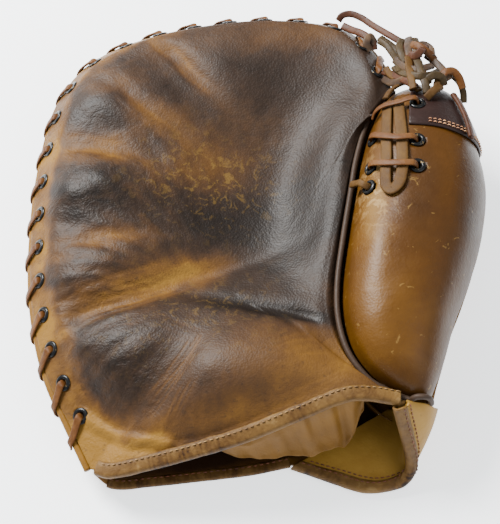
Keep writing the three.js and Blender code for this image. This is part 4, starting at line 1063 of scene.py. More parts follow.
def stitches(name, places, ups, length, pitch, thick, material, slot):
    """A row of stitches: short threads that rise from one hole and dip into the next."""
    run = np.concatenate([[0], np.cumsum(np.linalg.norm(np.diff(places, axis=0), axis=1))])
    starts = np.arange(0.5, run[-1] - length, pitch)
    rings, sides = 7, 6
    share = np.linspace(0, 1, rings)
    turn = np.arange(sides) / sides * 2 * math.pi
    all_places, faces = [], []
    for start in starts:
        at = start + share * length
        line = np.stack([np.interp(at, run, places[:, k]) for k in range(3)], -1)
        up = unit(np.stack([np.interp(at, run, ups[:, k]) for k in range(3)], -1))
        way = unit(np.gradient(line, axis=0))
        side = unit(np.cross(way, up))
        rise = thick * (0.9 * np.sin(math.pi * share) ** 0.5 - 0.35)
        radius = thick / 2 * (0.55 + 0.45 * np.sin(math.pi * share) ** 0.5)
        centre = line + up * rise[:, None]
        ring = centre[:, None] + radius[:, None, None] * (
            side[:, None] * np.cos(turn)[None, :, None] + up[:, None] * np.sin(turn)[None, :, None]
        )
        faces += strip_faces(rings, sides, len(all_places) * rings * sides)
        all_places.append(ring.reshape(-1, 3))
    return finished(mesh_piece(name, np.concatenate(all_places), faces), material, slot)


def thread(name, tone, dark):
    finish = Finish(name)
    twist = finish.clouds(900, 2, 0.5)
    soil = finish.clouds(120, 3, 0.6)
    colour = finish.blend(soil.within(0.35, 0.65), dark, tone)
    return finish.wear(colour, 0.7, finish.relief(twist, 0.1), {})


pale_thread = thread("pale_thread", (0.56, 0.30, 0.14), (0.30, 0.13, 0.06))
tan_thread = thread("tan_thread", (0.26, 0.15, 0.05), (0.12, 0.06, 0.02))
red_thread = thread("red_thread", (0.16, 0.045, 0.02), (0.07, 0.02, 0.012))
for row_name, in_from_edge in {"lower": 2.2, "upper": 4.2}.items():
    line_angle = np.linspace(88, -9, 120)
    line_y = Y(row_at(cap_rows, "angle", line_angle)["y"]) + in_from_edge
    line, line_up, _ = thumb_frame(line_y, line_angle, cap_lift - 0.1)
    stitches(f"cap_stitches_{row_name}", line, line_up, 2.0, 2.7, 0.7, pale_thread, "cap_leather")

# The cuff is a curved panel that closes the wrist's side below the thumb. Its edge, the heel's edge
# and the back's edge are each bound with a strip of soft tan leather, folded over and sewn through.
cuff_rows = table("x y z innerX innerY innerZ", [
    (0.563, -0.789, 0.65, 0.592, -0.786, 0.655),
    (0.577, -0.812, 0.56, 0.632, -0.782, 0.620),
    (0.597, -0.838, 0.44, 0.690, -0.777, 0.560),
    (0.615, -0.868, 0.33, 0.717, -0.770, 0.470),
    (0.630, -0.900, 0.21, 0.738, -0.728, 0.330),
    (0.627, -0.936, 0.130, 0.728, -0.718, 0.180),
    (0.592, -0.962, 0.079, 0.685, -0.718, 0.045),
    (0.465, -0.980, 0.064, 0.655, -0.718, 0.024),
    (0.310, -0.937, 0.060, 0.610, -0.717, 0.024),
    (0.158, -0.888, 0.056, 0.560, -0.715, 0.024),
])
cuff = measured(cuff_rows)


def cuff_point(s, t):
    s, t = np.broadcast_arrays(np.asarray(s, float), t)
    row = row_at(cuff, "s", s)
    edge = points(X(row["x"]), Y(row["y"]), Z(row["z"]))
    inner = points(X(row["innerX"]), Y(row["innerY"]), Z(row["innerZ"]))
    bulge = 2.6 * np.sin(math.pi * t) * ease((row["z"] - 0.03) / 0.25)
    place = between(edge, inner, t[..., None])
    place[..., 0] += bulge
    place[..., 1] += 3.2 * t * ease((row["z"] - 0.15) / 0.2)
    place[..., 2] -= 1.0 * (1 - t) * ease((0.10 - row["z"]) / 0.05)
    sole = ease((0.16 - row["z"]) / 0.08)
    place[..., 1] += 7.0 * t * sole
    place[..., 2] += 2.9 * ease(t / 0.7) * sole
    return place


def cuff_frame(s, t):
    along = unit(cuff_point(s + 0.5, t) - cuff_point(s - 0.5, t))
    inward = unit(cuff_point(s, t + 0.02) - cuff_point(s, t - 0.02))
    return inward, unit(np.cross(inward, along))


cuff_levels = np.linspace(0.6, cuff["s"][-1] - 0.6, 140)
cuff_shares = np.linspace(0, 1, 40)
cuff_s, cuff_t = np.meshgrid(cuff_levels, cuff_shares, indexing="ij")
_, cuff_out = cuff_frame(cuff_s, np.clip(cuff_t, 0.03, 0.97))
cuff_middle = cuff_point(cuff_s, cuff_t)
cuff_skin = leather / 2 + 0.3 * (ripple(cuff_s, cuff_t * 30, 7, 0.5) - 0.8) * np.sin(math.pi * cuff_t)
cuff_outer, cuff_inner = cuff_middle + cuff_out * cuff_skin[..., None], cuff_middle - cuff_out * leather / 2
cuff_panel = wall("cuff", cuff_outer, cuff_inner)
# The cuff's tan is set far paler than the back's, as painted light on the cuff's shaded faces.
finished(cuff_panel, tan_leather("cuff_leather", tan_tones, 0.95), "tan_leather", "cuff_panel")


def swept(name, centres, sides, ups, sections):
    """A closed strip or cord: at each station the section's places go across and above its centre."""
    sections = np.asarray(sections, float)
    if sections.ndim == 2:
        sections = np.broadcast_to(sections, (len(centres), *sections.shape))
    rings = centres[:, None] + sides[:, None] * sections[..., :1] + ups[:, None] * sections[..., 1:]
    return mesh_piece(name, rings.reshape(-1, 3), strip_faces(*rings.shape[:2]))


def fold_section(leg, core, gap, thick):
    """A strip's section, folded over an edge that is core thick, with rounded outer corners."""
    reach = core / 2 + gap + thick
    turn = np.radians(np.linspace(90, -90, 13))
    bend = np.stack([np.cos(turn) * 0.92, np.sin(turn)], -1)
    outer, inner = bend * reach - [0, core / 2], bend[::-1] * (reach - thick) - [0, core / 2]
    above, below = outer[0, 1], outer[-1, 1]
    top = [(-leg, above - 0.75 * thick), (-leg + 0.8, above - 0.12), (-leg / 2, above)]
    low = [(-leg / 2, below), (-leg + 0.8, below + 0.12), (-leg, below + 0.75 * thick)]
    low_in = [(-leg, inner[0, 1]), (-leg / 2, inner[0, 1])]
    top_in = [(-leg / 2, inner[-1, 1]), (-leg, inner[-1, 1])]
    return np.concatenate([top, outer, low, low_in, inner, top_in])


binding = {"leg": 6, "thickness": 1.3}


def bound(sections, s, seed):
    """The binding's section at each station, a little uneven as worn leather is."""
    swell = 1 + 0.05 * ripple(s, 0 * s, 5.0, seed) + 0.03 * ripple(s, 0 * s, 1.8, seed + 1)
    return sections[None] * swell[:, None, None]


binding_finish = Finish("binding_leather")
clouds, mottle = binding_finish.clouds(40, 4, 0.6, 0.5), binding_finish.clouds(170, 5, 0.7, 0.4)
binding_tones = [
    (0.00, (0.006, 0.003, 0.002)),
    (0.28, (0.022, 0.009, 0.003)),
    (0.42, (0.066, 0.030, 0.006)),
    (0.70, (0.125, 0.066, 0.017)),
    (1.00, (0.230, 0.150, 0.060)),
]
# The strips' painted soiling and painted shade darken the binding.
binding_tone = 0.62 + 0.9 * (clouds - 0.5) + 0.8 * (mottle - 0.5) - binding_finish.painted("soiled_and_shaded")
binding_colour = binding_finish.ramp(binding_tone.held(), binding_tones)
binding_skin = binding_finish.relief(binding_finish.clouds(320, 4, 0.65, 1.0), 0.35)
binding_gloss = 0.50 + 0.25 * (mottle - 0.3)
binding_material = binding_finish.wear(binding_colour, binding_gloss, binding_skin, {"IOR": 1.27})


def soiled_and_shaded(piece, s, sections, patches, base=0.0):
    """Paints the worn dark patches of a strip: each patch is a middle, a half length and an amount.
    Each patch darkens the strip's lower side fully and its top a quarter as much: painted shade under the
    strip.
    """
    # low marks the lower side of the section, where the painted shade is added.
    low = ease((0.2 - sections[:, 1]) / 1.6)
    ragged = 0.5 + 0.5 * np.sin(s * 1.9 + 1.7 * np.sin(s * 0.7))
    along = base + sum(amount * np.exp(-(((s - middle) / half) ** 4)) for middle, half, amount in patches)
    paint(piece, "soiled_and_shaded", along[:, None] * (0.25 + 0.75 * low[None]) * (0.45 + 0.75 * ragged[:, None]))


def run_on(centre, out, up, s):
    """A strip carried on past its first end, to meet the next piece."""
    reach = np.array([2.4, 1.6, 0.8])[:, None]
    onward = unit(centre[0] - centre[3])
    centre = np.concatenate([centre[0] + reach * onward, centre])
    out, up = (np.concatenate([way[:1]] * 3 + [way]) for way in (out, up))
    return centre, out, up, np.concatenate([s[0] - reach[:, 0], s])


heel_s = np.linspace(1.5, lip_length - 3, 220)
_, _, heel_out, heel_up, heel_face = edge_frame(lip_edge, heel_s)
heel_face, heel_out, heel_up, heel_s = run_on(heel_face, heel_out, heel_up, heel_s)
heel_section = fold_section(binding["leg"], leather, 0.25, binding["thickness"])
heel = swept("heel_binding_strip", heel_face, heel_out, heel_up, bound(heel_section, heel_s, 0.4))
soiled_and_shaded(heel, heel_s, heel_section, [(48, 11, 0.6), (118, 27, 0.75)], 0.05)
finished(heel, binding_material, "binding_leather", "heel_binding")
heel_line = heel_face - heel_out * (binding["leg"] - 1.5) + heel_up * (0.25 + binding["thickness"])
stitches("heel_stitches", heel_line, heel_up, 2.2, 3.2, 0.6, tan_thread, "binding_leather")

back_s = np.linspace(0.5, back_lip["s"][-1] - 11, 120)
back_row = row_at(back_lip, "s", back_s)
back_after, back_before = row_at(back_lip, "s", back_s + 1), row_at(back_lip, "s", back_s - 1)
back_run_x, back_run_y = X(back_after["x"] - back_before["x"]), Y(back_after["y"] - back_before["y"])
back_out = unit(points(back_run_y, -back_run_x, 0 * back_s))
back_out = back_out * -np.sign(back_out[:, 1:2])
back_up = np.broadcast_to([0.0, 0.0, 1.0], back_out.shape)
back_z = np.maximum(Z(back_row["z"]), 0) + back_panel["thickness"]
back_centre = points(X(back_row["x"]), Y(back_row["y"]), back_z)
back_section = np.array([
    (-4.2, 0.15), (-4.2, 0.55), (-3.7, 0.85), (0.2, 0.95), (0.9, 0.70), (1.25, 0.1), (1.3, -1.2),
    (1.0, -2.1), (0.3, -2.1), (0.3, 0.15),
])
back_strip = swept("back_binding_strip", back_centre, back_out, back_up, bound(back_section, back_s, 1.9))
# The back's binding is darkened all along, partly dark worn leather and partly painted shade under the lip.
soiled_and_shaded(back_strip, back_s, back_section, [(60, 60, 0.35)], 0.25)
finished(back_strip, binding_material, "binding_leather", "back_binding")
back_line = back_centre - back_out * 3.0 + back_up * 0.85
stitches("back_stitches", back_line, back_up, 2.2, 3.4, 0.6, red_thread, "binding_leather")

cuff_strip_s = np.linspace(cuff_levels[0] + 0.6, cuff_levels[-1] - 0.6, 160)
cuff_inward, cuff_up = cuff_frame(cuff_strip_s, 0.03)
cuff_centre = cuff_point(cuff_strip_s, 0) + cuff_up * leather / 2
cuff_centre, cuff_inward, cuff_up, cuff_strip_s = run_on(cuff_centre, cuff_inward, cuff_up, cuff_strip_s)
cuff_gap = 0.7
cuff_section = fold_section(0.75 * binding["leg"], leather, cuff_gap, binding["thickness"])
cuff_sections = bound(cuff_section, cuff_strip_s, 2.8)
cuff_strip = swept("cuff_binding_strip", cuff_centre, -cuff_inward, cuff_up, cuff_sections)
soiled_and_shaded(cuff_strip, cuff_strip_s, cuff_section, [(52, 8, 0.4), (96, 12, 0.5)], 0.06)
finished(cuff_strip, binding_material, "binding_leather", "cuff_binding")
on_strip = cuff_gap + binding["thickness"] - 0.1
for row_name, in_from_edge, lift in (("outer", 2.6, on_strip), ("inner", 6.4, 0.05)):
    line = cuff_centre + cuff_inward * in_from_edge
    for side, up, height in (("", cuff_up, lift), ("under_", -cuff_up, leather + lift)):
        row = f"cuff_stitches_{side}{row_name}"
        stitches(row, line + up * height, up, 2.1, 3.0, 0.65, red_thread, "binding_leather")

# The hand's lining is soft smooth leather. It is sewn under the heel edge, hangs in gathers and
# turns in under the palm; only this fold of it shows in the wrist's mouth.
lining = {"thickness": 1.2, "drop": 32, "reach": 15}
lining_rows = table("s drop", [
    (17, 0.50),
    (26, 0.92),
    (38, 1.00),
    (56, 0.82),
    (80, 0.45),
    (104, 0.12),
])
lining_shape = table("t reach drop", [
    (0, 0.60, 0.00),
    (1, 0.26, 0.03),
    (2, 0.10, 0.22),
    (3, -0.14, 0.55),
    (4, -0.50, 0.86),
    (5, -0.76, 1.00),
])


def lining_face(s, t):
    _, _, out, _, face = edge_frame(lip_edge, s)
    inward = -unit(out * np.array([1, 1, 0.0]))
    shape = row_at(lining_shape, "t", t)
    gather = 0.08 * np.sin(s / 3.6) + 0.03 * np.sin(s / 1.55 + 1)
    share = row_at(lining_rows, "s", s)["drop"]
    drop = lining["drop"] * share * (1 + gather * t / 5)
    reach = np.maximum(shape["reach"], shape["reach"] * share) * lining["reach"]
    reach = reach + 9 * ease((s - 84) / 22) + 6 * ease((24 - s) / 7)
    pleat = 0.9 * np.sin(s / 2.3 + 0.5 * t) + 0.5 * np.sin(s / 1.27 + 1.1 * t)
    pleat = pleat * np.sin(math.pi * t / 5) * share
    place = face + inward * (reach + pleat)[..., None]
    top = leather + binding["thickness"] + 5.0 * clearance
    place[..., 2] = face[..., 2] - top - shape["drop"] * drop
    return place


lining_s, lining_t = np.meshgrid(np.linspace(17, 104, 220), np.linspace(0, 5, 60), indexing="ij")
lining_place = lining_face(lining_s, lining_t)
lining_along = lining_face(lining_s + 0.3, lining_t) - lining_face(lining_s - 0.3, lining_t)
lining_down = lining_face(lining_s, lining_t + 0.03) - lining_face(lining_s, lining_t - 0.03)
lining_down[:, -1] = lining_down[:, -2]
lining_out = unit(np.cross(lining_along, lining_down))
lining_half = lining_out * lining["thickness"] / 2
hang = wall("palm_lining_fold", lining_place + lining_half, lining_place - lining_half)
lining_tones = [
    (0.00, (0.030, 0.013, 0.003)),
    (0.35, (0.090, 0.040, 0.005)),
    (0.60, (0.150, 0.070, 0.009)),
    (1.00, (0.260, 0.140, 0.032)),
]
lining_material = tan_leather("lining_leather", lining_tones, 0.50, 900, 0.5, 0.35)
finished(hang, lining_material, "binding_leather", "palm_lining")


def stationed(places, ups):
    """The side and up ways of a cord's stations, square to the way it runs."""
    way = unit(np.gradient(places, axis=0))
    up = unit(ups - way * np.sum(ups * way, -1, keepdims=True))
    return np.cross(way, up), up


def rounded(width, thick, sides=20, power=3.0):
    """The section of a cut strip with worn corners."""
    turn = np.arange(sides) / sides * 2 * math.pi
    c, n = np.cos(turn), np.sin(turn)
    x, y = np.sign(c) * np.abs(c) ** (2 / power), np.sign(n) * np.abs(n) ** (2 / power)
    return np.stack([x * width / 2, y * thick / 2], -1)


def curved(places, count, values=None):
    """A smooth curve through places, with values carried along it."""
    places = np.asarray(places, float)
    first, last = 2 * places[0] - places[1], 2 * places[-1] - places[-2]
    knots = np.concatenate([[first], places, [last]])
    u = np.linspace(0, len(places) - 1, count)
    k = np.minimum(u.astype(int), len(places) - 2)
    w = (u - k)[:, None]
    p0, p1, p2, p3 = (knots[k + i] for i in range(4))
    steps = (p1 - p0, p2 - p1, p3 - p2)
    d0, d1, d2 = (np.maximum(np.linalg.norm(step, axis=1, keepdims=True) ** 0.5, 1e-4) for step in steps)
    t1 = ((p1 - p0) / d0 - (p2 - p0) / (d0 + d1) + (p2 - p1) / d1) * d1
    t2 = ((p2 - p1) / d1 - (p3 - p1) / (d1 + d2) + (p3 - p2) / d2) * d1
    curve = (
        (2 * w**3 - 3 * w**2 + 1) * p1
        + (w**3 - 2 * w**2 + w) * t1
        + (3 * w**2 - 2 * w**3) * p2
        + (w**3 - w**2) * t2
    )
    if values is None:
        return curve
    values = np.asarray(values, float)
    return curve, between(values[k], values[k + 1], w)


# Two welts keep the seams from gaping: a thin dark one sewn between palm and thumb, and a thicker
# tan piping that runs outside the whole laced rim.
welt_levels = np.linspace(seam_start - 2, seam_end + 0.5, 150)
foot_angles = np.linspace(thumb["seam"] - 14, thumb["side"] + 10, 60)
foot_line = thumb_point(thumb_foot, foot_angles, thumb_pad["tuck"] / 2)
foot_line[:, 1] -= welt_radius + clearance
seam_line = np.concatenate([seam_point(welt_levels, 1.75), foot_line])
seam_line = curved(seam_line[::6], 420)
seam_side, seam_up = stationed(seam_line, np.broadcast_to([0.2, 0.3, 1.0], seam_line.shape))
thumb_welt_width = 3.2
cord = rounded(thumb_welt_width, thumb_welt_width, 14, 2.0)
thumb_welt = swept("thumb_welt_cord", seam_line, seam_side, seam_up, cord)
welt_tones = [
    (0.00, (0.016, 0.010, 0.008)),
    (0.55, (0.040, 0.024, 0.015)),
    (1.00, (0.130, 0.075, 0.035)),
]
finished(thumb_welt, tan_leather("welt_leather", welt_tones, 0.45, 900, 0.5), "dark_welt", "thumb_welt")

rim_welt_radius = 2.1
piping_s = np.linspace(0.8, rim_length - 14, 520)
_, _, piping_out, piping_up, piping_face = edge_frame(rim_edge, piping_s)
piping_line = piping_face + piping_out * (rim_welt_radius + 0.1) - piping_up * stack / 2
piping_cord = rounded(2 * rim_welt_radius, 2 * rim_welt_radius, 16, 2.2)
piping = swept("rim_piping", piping_line, piping_out, piping_up, piping_cord)
finished(piping, tan_leather("piping_leather", tan_tones, 0.62), "tan_leather", "rim_welt")

# A rolled brass eyelet, blackened, is set through both leathers at each hole.
ring_profile = [
    (2.05, -5.6), (2.05, 0.10), (2.25, 0.55), (2.75, 0.85), (3.35, 0.90), (4.00, 0.72), (4.40, 0.36),
    (4.50, 0.02), (4.20, -0.12), (3.20, -0.05), (2.60, -0.30), (2.45, -0.80), (2.45, -5.6),
]


def lathed(name, centre, up, profile, sides=32):
    """A round piece standing on a place: each row of its profile is a radius and a height."""
    aside = unit(np.cross(up, [0.3, 0.9, 0.1]))
    other = np.cross(up, aside)
    turn = np.arange(sides) / sides * 2 * math.pi
    rings = [
        centre + up * height + radius * (np.cos(turn)[:, None] * aside + np.sin(turn)[:, None] * other)
        for radius, height in profile
    ]
    index = np.arange(len(profile) * sides).reshape(len(profile), sides)
    after, below = np.roll(index, -1, 1), np.roll(index, -1, 0)
    faces = np.stack([index, after, np.roll(after, -1, 0), below], -1).reshape(-1, 4).tolist()
    return mesh_piece(name, np.concatenate(rings), faces)


enamel = Finish("black_eyelet")
chips = enamel.clouds(380, 4, 0.7).within(0.60, 0.66)
metal_colour = enamel.blend(chips, (0.012, 0.013, 0.014), (0.20, 0.14, 0.06))
metal_skin = enamel.relief(enamel.clouds(300, 3), 0.05)
enamel_material = enamel.wear(metal_colour, 0.30 + 0.25 * chips, metal_skin, {"Metallic": 0.75})
eyelet_places = [(f"rim_ring_{i:02d}", f"rim_eyelet_{i:02d}", *hole) for i, hole in enumerate(rim_holes, 1)]
eyelet_places += [(f"thumb_ring_{i}", f"thumb_eyelet_{i}", *hole) for i, hole in enumerate(thumb_holes, 1)]
for ring_name, eyelet_name, centre, up in eyelet_places:
    ring = lathed(ring_name, centre + up * 0.15, up, ring_profile)
    finished(ring, enamel_material, "eyelet_metal", eyelet_name)

# One long orange lace whips palm to back over the piping: up through an eyelet, out over the edge
# and back underneath to the next. Out is a share of the eyelets' inset, up of the two leathers.
whip = table("out up along", [
    (-1.00, -0.70, 0.00),
    (-1.00, 0.45, 0.00),
    (-0.88, 0.86, 0.03),
    (-0.45, 0.82, 0.14),
    (0.12, 0.70, 0.29),
    (0.56, 0.40, 0.38),
    (0.68, -0.05, 0.46),
    (0.50, -0.68, 0.54),
    (-0.25, -0.90, 0.74),
])
lace_places, lace_ups = [], []
for i in reversed(range(rim_eyelets["count"])):
    for k in range(len(whip["out"])):
        if i == 0 and k > 6:
            break
        s = np.array(eyelet_levels[i] - whip["along"][k] * eyelet_pitch)
        _, inward, out, up, face = edge_frame(rim_edge, s)
        way = -inward if whip["out"][k] < 0 else out
        off = way * whip["out"][k] * eyelet["inset"] + up * (whip["up"][k] - 0.5) * stack
        lace_places.append(face + off)
        before, after = (k - 1) % len(whip["out"]), (k + 1) % len(whip["out"])
        d_out = (whip["out"][after] - whip["out"][before]) * eyelet["inset"]
        d_up = (whip["up"][after] - whip["up"][before]) * stack
        lace_ups.append(up * d_out - out * d_up)
lace_line, lace_up = curved(lace_places, 6 * len(lace_places), unit(np.array(lace_ups)))
lace_side, lace_up = stationed(lace_line, lace_up)


def lace_leather(name, tones, base, rough=0.48):
    """A cut lace: one grain side, scuffed along its edges, darkened by oil."""
    finish = Finish(name)
    clouds, mottle = finish.clouds(55, 4, 0.6, 0.4), finish.clouds(260, 5, 0.7, 0.3)
    tone = base + 0.75 * (clouds - 0.5) + 0.6 * (mottle - 0.5)
    cracks = 1 - finish.clouds(420, 3, 0.7, 0.8).within(0.30, 0.40)
    colour = finish.blend(0.5 * cracks, finish.ramp(tone.held(), tones), (0.06, 0.03, 0.015))
    normal = finish.relief(finish.clouds(420, 4, 0.65, 0.6), 0.25)
    return finish.wear(colour, rough + 0.3 * (mottle - 0.4), normal, {"IOR": 1.27})


orange_tones = [
    (0.00, (0.012, 0.004, 0.001)),
    (0.30, (0.036, 0.012, 0.003)),
    (0.60, (0.076, 0.027, 0.005)),
    (1.00, (0.150, 0.066, 0.018)),
]
red_tones = [
    (0.00, (0.012, 0.004, 0.003)),
    (0.35, (0.032, 0.011, 0.005)),
    (0.65, (0.070, 0.024, 0.009)),
    (1.00, (0.140, 0.056, 0.021)),
]
olive_tones = [
    (0.00, (0.008, 0.005, 0.002)),
    (0.35, (0.022, 0.013, 0.004)),
    (0.65, (0.048, 0.029, 0.009)),
    (1.00, (0.105, 0.068, 0.024)),
]
rawhide_tones = [
    (0.00, (0.018, 0.0075, 0.0015)),
    (0.35, (0.046, 0.020, 0.003)),
    (0.65, (0.082, 0.040, 0.008)),
    (1.00, (0.170, 0.102, 0.034)),
]
orange_lace = lace_leather("orange_lace", orange_tones, 0.62)
red_lace = lace_leather("red_lace", red_tones, 0.5)
rawhide = lace_leather("rawhide", rawhide_tones, 0.5, 0.6)
olive_lace = lace_leather("olive_lace", olive_tones, 0.5)
dark_lace = lace_leather("dark_lace", welt_tones, 0.6)
whipped = swept("rim_lace_strip", lace_line, lace_side, lace_up, rounded(4.2, 1.4))
finished(whipped, orange_lace, "red_lace", "rim_lace")

# The thumb is closed by laces laid over its front: a pale strap doubled back in a U, three orange
# laces across it, a pale one over the tip and a knotted end. Lift is millimetres above the leather.
strap_rows = table("y angle lift", [
    (0.440, 126, 2.0),
    (0.390, 123, 1.8),
    (0.264, 119, 1.7),
    (0.146, 116.5, 1.7),
    (0.070, 115.5, 1.7),
    (0.028, 113.5, 1.7),
    (0.008, 109, 1.7),
    (0.028, 104.5, 1.7),
    (0.070, 103, 1.7),
    (0.146, 103.5, 1.7),
    (0.264, 105.5, 1.7),
    (0.340, 108, 1.8),
    (0.410, 111, 2.0),
])
cross_rows = {
    1: table("y angle lift", [
        (0.410, 93.5, -7), (0.410, 93.5, 3.8), (0.410, 95.4, 5.5), (0.408, 101, 5.4), (0.406, 108, 4.5),
        (0.406, 116, 4.3), (0.407, 124, 4.3), (0.406, 131, 4.1), (0.400, 137, 3.6), (0.388, 142, 2.6),
    ]),
    2: table("y angle lift", [
        (0.229, 93.5, -7), (0.229, 93.8, 0.6), (0.229, 96, 3.2), (0.228, 100, 3.9), (0.228, 107, 4.1),
        (0.240, 115, 4.1), (0.256, 123, 4.1), (0.272, 130, 3.9), (0.281, 135.2, 3.0), (0.285, 137.6, 0),
        (0.285, 138, -6),
    ]),
    3: table("y angle lift", [
        (0.111, 93, -7), (0.111, 93.3, 0.6), (0.111, 95.5, 3.2), (0.111, 100, 3.9), (0.113, 106, 4.1),
        (0.120, 114, 4.1), (0.132, 122, 4.0), (0.143, 129, 3.5), (0.146, 132.5, 2.2), (0.146, 134, -1),
        (0.146, 134, -6),
    ]),
}
top_rows = table("y angle lift", [
    (0.449, 127, 4.0), (0.490, 125, 4.0), (0.518, 118, 3.9), (0.524, 109, 3.9), (0.508, 98, 3.6),
    (0.470, 92, 3.3),
])
knot_rows = table("y angle lift", [
    (0.056, 132.5, -6), (0.056, 132.6, 0.4), (0.060, 134, 3.0), (0.072, 137, 4.2), (0.082, 143, 4.6),
    (0.092, 148, 5.4),
])


def laid(name, rows, width, thick, count=160):
    """A strip laid over the thumb's front along a table's places."""
    centre, up, _ = thumb_frame(Y(rows["y"]), rows["angle"])
    line, ups = curved(centre + up * rows["lift"][:, None], count, up)
    side, up = stationed(line, ups)
    return swept(name, line, side, up, rounded(width, thick))


finished(laid("thumb_strap_strip", strap_rows, 6.4, 1.8, 260), rawhide, "rawhide", "thumb_strap")
for i, rows in cross_rows.items():
    finished(laid(f"thumb_cross_lace_{i}", rows, 3.8, 1.3), orange_lace, "red_lace", f"thumb_lace_{i}")
finished(laid("thumb_top_strip", top_rows, 4, 2), rawhide, "rawhide", "thumb_top_lace")
finished(laid("thumb_knot_end", knot_rows, 4, 2.2), rawhide, "rawhide", "thumb_knot")

# The web between finger end and thumb is worn laces: some tied from eyelet to eyelet, some wrapped
# and braided round them, and the ends of the knots left standing. Each row is a place along one.
web_rows = {
    1: table("x y z", [
        (0.382, 0.928, 0.655), (0.397, 0.940, 0.685), (0.433, 0.944, 0.700), (0.482, 0.918, 0.715),
        (0.529, 0.875, 0.730), (0.575, 0.832, 0.755), (0.620, 0.786, 0.790), (0.655, 0.738, 0.835),
        (0.670, 0.674, 0.885), (0.674, 0.613, 0.917), (0.675, 0.562, 0.923),
    ]),
    2: table("x y z", [
        (0.558, 0.790, 0.740), (0.585, 0.762, 0.760), (0.606, 0.720, 0.780), (0.621, 0.674, 0.816),
        (0.629, 0.626, 0.853), (0.631, 0.582, 0.883),
    ]),
    3: table("x y z", [
        (0.579, 0.644, 0.771), (0.590, 0.611, 0.792), (0.602, 0.588, 0.814), (0.614, 0.573, 0.835),
    ]),
    4: table("x y z", [
        (0.712, 0.620, 0.915), (0.720, 0.574, 0.938), (0.733, 0.536, 0.942), (0.752, 0.512, 0.915),
    ]),
}
web_knot_rows = {
    1: table("x y z", [
        (0.714, 0.640, 0.925), (0.706, 0.690, 0.905), (0.736, 0.712, 0.895), (0.768, 0.690, 0.900),
        (0.772, 0.645, 0.915),
    ]),
    2: table("x y z", [
        (0.795, 0.594, 0.872), (0.826, 0.590, 0.865), (0.862, 0.584, 0.837), (0.893, 0.564, 0.802),
        (0.910, 0.530, 0.762), (0.912, 0.494, 0.727),
    ]),
    3: table("x y z", [
        (0.780, 0.470, 0.932), (0.780, 0.500, 0.945), (0.795, 0.530, 0.934), (0.820, 0.545, 0.902),
    ]),
}
side_rows = table("y angle lift", [
    (0.468, 56, 3.9), (0.425, 54, 3.9), (0.375, 52, 3.9), (0.319, 51, 3.9), (0.262, 51, 3.9),
])
# The finer strands of the web, from eyelets and through one another, each with its lace.
strand_rows = {
    "edge_tie": (red_lace, [
        (0.401, 0.901, 0.655), (0.440, 0.870, 0.680), (0.475, 0.850, 0.695), (0.505, 0.824, 0.708),
        (0.530, 0.795, 0.705), (0.534, 0.770, 0.680),
    ]),
    "eyelet_loop": (dark_lace, [
        (0.540, 0.790, 0.700), (0.517, 0.814, 0.735), (0.500, 0.786, 0.730), (0.516, 0.760, 0.690),
    ]),
    "dark_tie": (olive_lace, [
        (0.562, 0.814, 0.718), (0.604, 0.769, 0.744), (0.636, 0.724, 0.769), (0.660, 0.675, 0.795),
        (0.664, 0.616, 0.826),
    ]),
    "wrap_1": (olive_lace, [
        (0.651, 0.758, 0.836), (0.636, 0.713, 0.862), (0.643, 0.670, 0.874), (0.657, 0.636, 0.870),
    ]),
    "wrap_2": (dark_lace, [
        (0.680, 0.760, 0.850), (0.672, 0.704, 0.892), (0.676, 0.654, 0.900), (0.690, 0.616, 0.890),
    ]),
    "wrap_3": (olive_lace, [
        (0.704, 0.752, 0.860), (0.712, 0.693, 0.892), (0.700, 0.650, 0.900), (0.694, 0.610, 0.905),
    ]),
    "knot_end": (orange_lace, [
        (0.686, 0.706, 0.905), (0.716, 0.682, 0.942), (0.741, 0.663, 0.942), (0.768, 0.650, 0.915),
        (0.784, 0.640, 0.885),
    ]),
    "knot_turn": (red_lace, [
        (0.745, 0.702, 0.897), (0.721, 0.652, 0.966), (0.698, 0.628, 0.966), (0.676, 0.652, 0.915),
    ]),
    "pale_fall": (rawhide, [
        (0.668, 0.640, 0.915), (0.668, 0.577, 0.942), (0.673, 0.519, 0.958), (0.676, 0.472, 0.962),
    ]),
    "wide_fall": (olive_lace, [
        (0.700, 0.640, 0.930), (0.707, 0.591, 0.955), (0.717, 0.538, 0.965), (0.731, 0.491, 0.966),
        (0.736, 0.458, 0.952),
    ]),
    "dark_side": (dark_lace, [
        (0.750, 0.670, 0.872), (0.785, 0.630, 0.885), (0.820, 0.582, 0.897), (0.846, 0.548, 0.880),
    ]),
    "side_loop": (orange_lace, [
        (0.800, 0.545, 0.880), (0.826, 0.570, 0.915), (0.857, 0.574, 0.915), (0.884, 0.552, 0.890),
        (0.900, 0.515, 0.850),
    ]),
    "olive_bow": (olive_lace, [
        (0.731, 0.505, 0.945), (0.746, 0.518, 0.976), (0.776, 0.528, 0.984), (0.802, 0.522, 0.970),
        (0.812, 0.500, 0.930),
    ]),
    "cut_end": (rawhide, [
        (0.730, 0.432, 0.955), (0.749, 0.446, 0.976), (0.776, 0.470, 0.978), (0.796, 0.486, 0.955),
    ]),
    "third_tie": (red_lace, [
        (0.570, 0.640, 0.735), (0.597, 0.607, 0.795), (0.623, 0.568, 0.856), (0.660, 0.520, 0.925),
        (0.690, 0.482, 0.958),
    ]),
    "third_dark": (dark_lace, [
        (0.569, 0.607, 0.730), (0.595, 0.563, 0.800), (0.622, 0.544, 0.856), (0.656, 0.545, 0.910),
    ]),
    "braid_1": (dark_lace, [
        (0.617, 0.665, 0.821), (0.633, 0.622, 0.872), (0.660, 0.588, 0.918), (0.696, 0.566, 0.950),
        (0.731, 0.576, 0.950), (0.768, 0.602, 0.910),
    ]),
    "braid_2": (olive_lace, [
        (0.612, 0.628, 0.825), (0.639, 0.577, 0.890), (0.669, 0.545, 0.945), (0.709, 0.526, 0.978),
        (0.753, 0.534, 0.970), (0.791, 0.566, 0.923),
    ]),
}


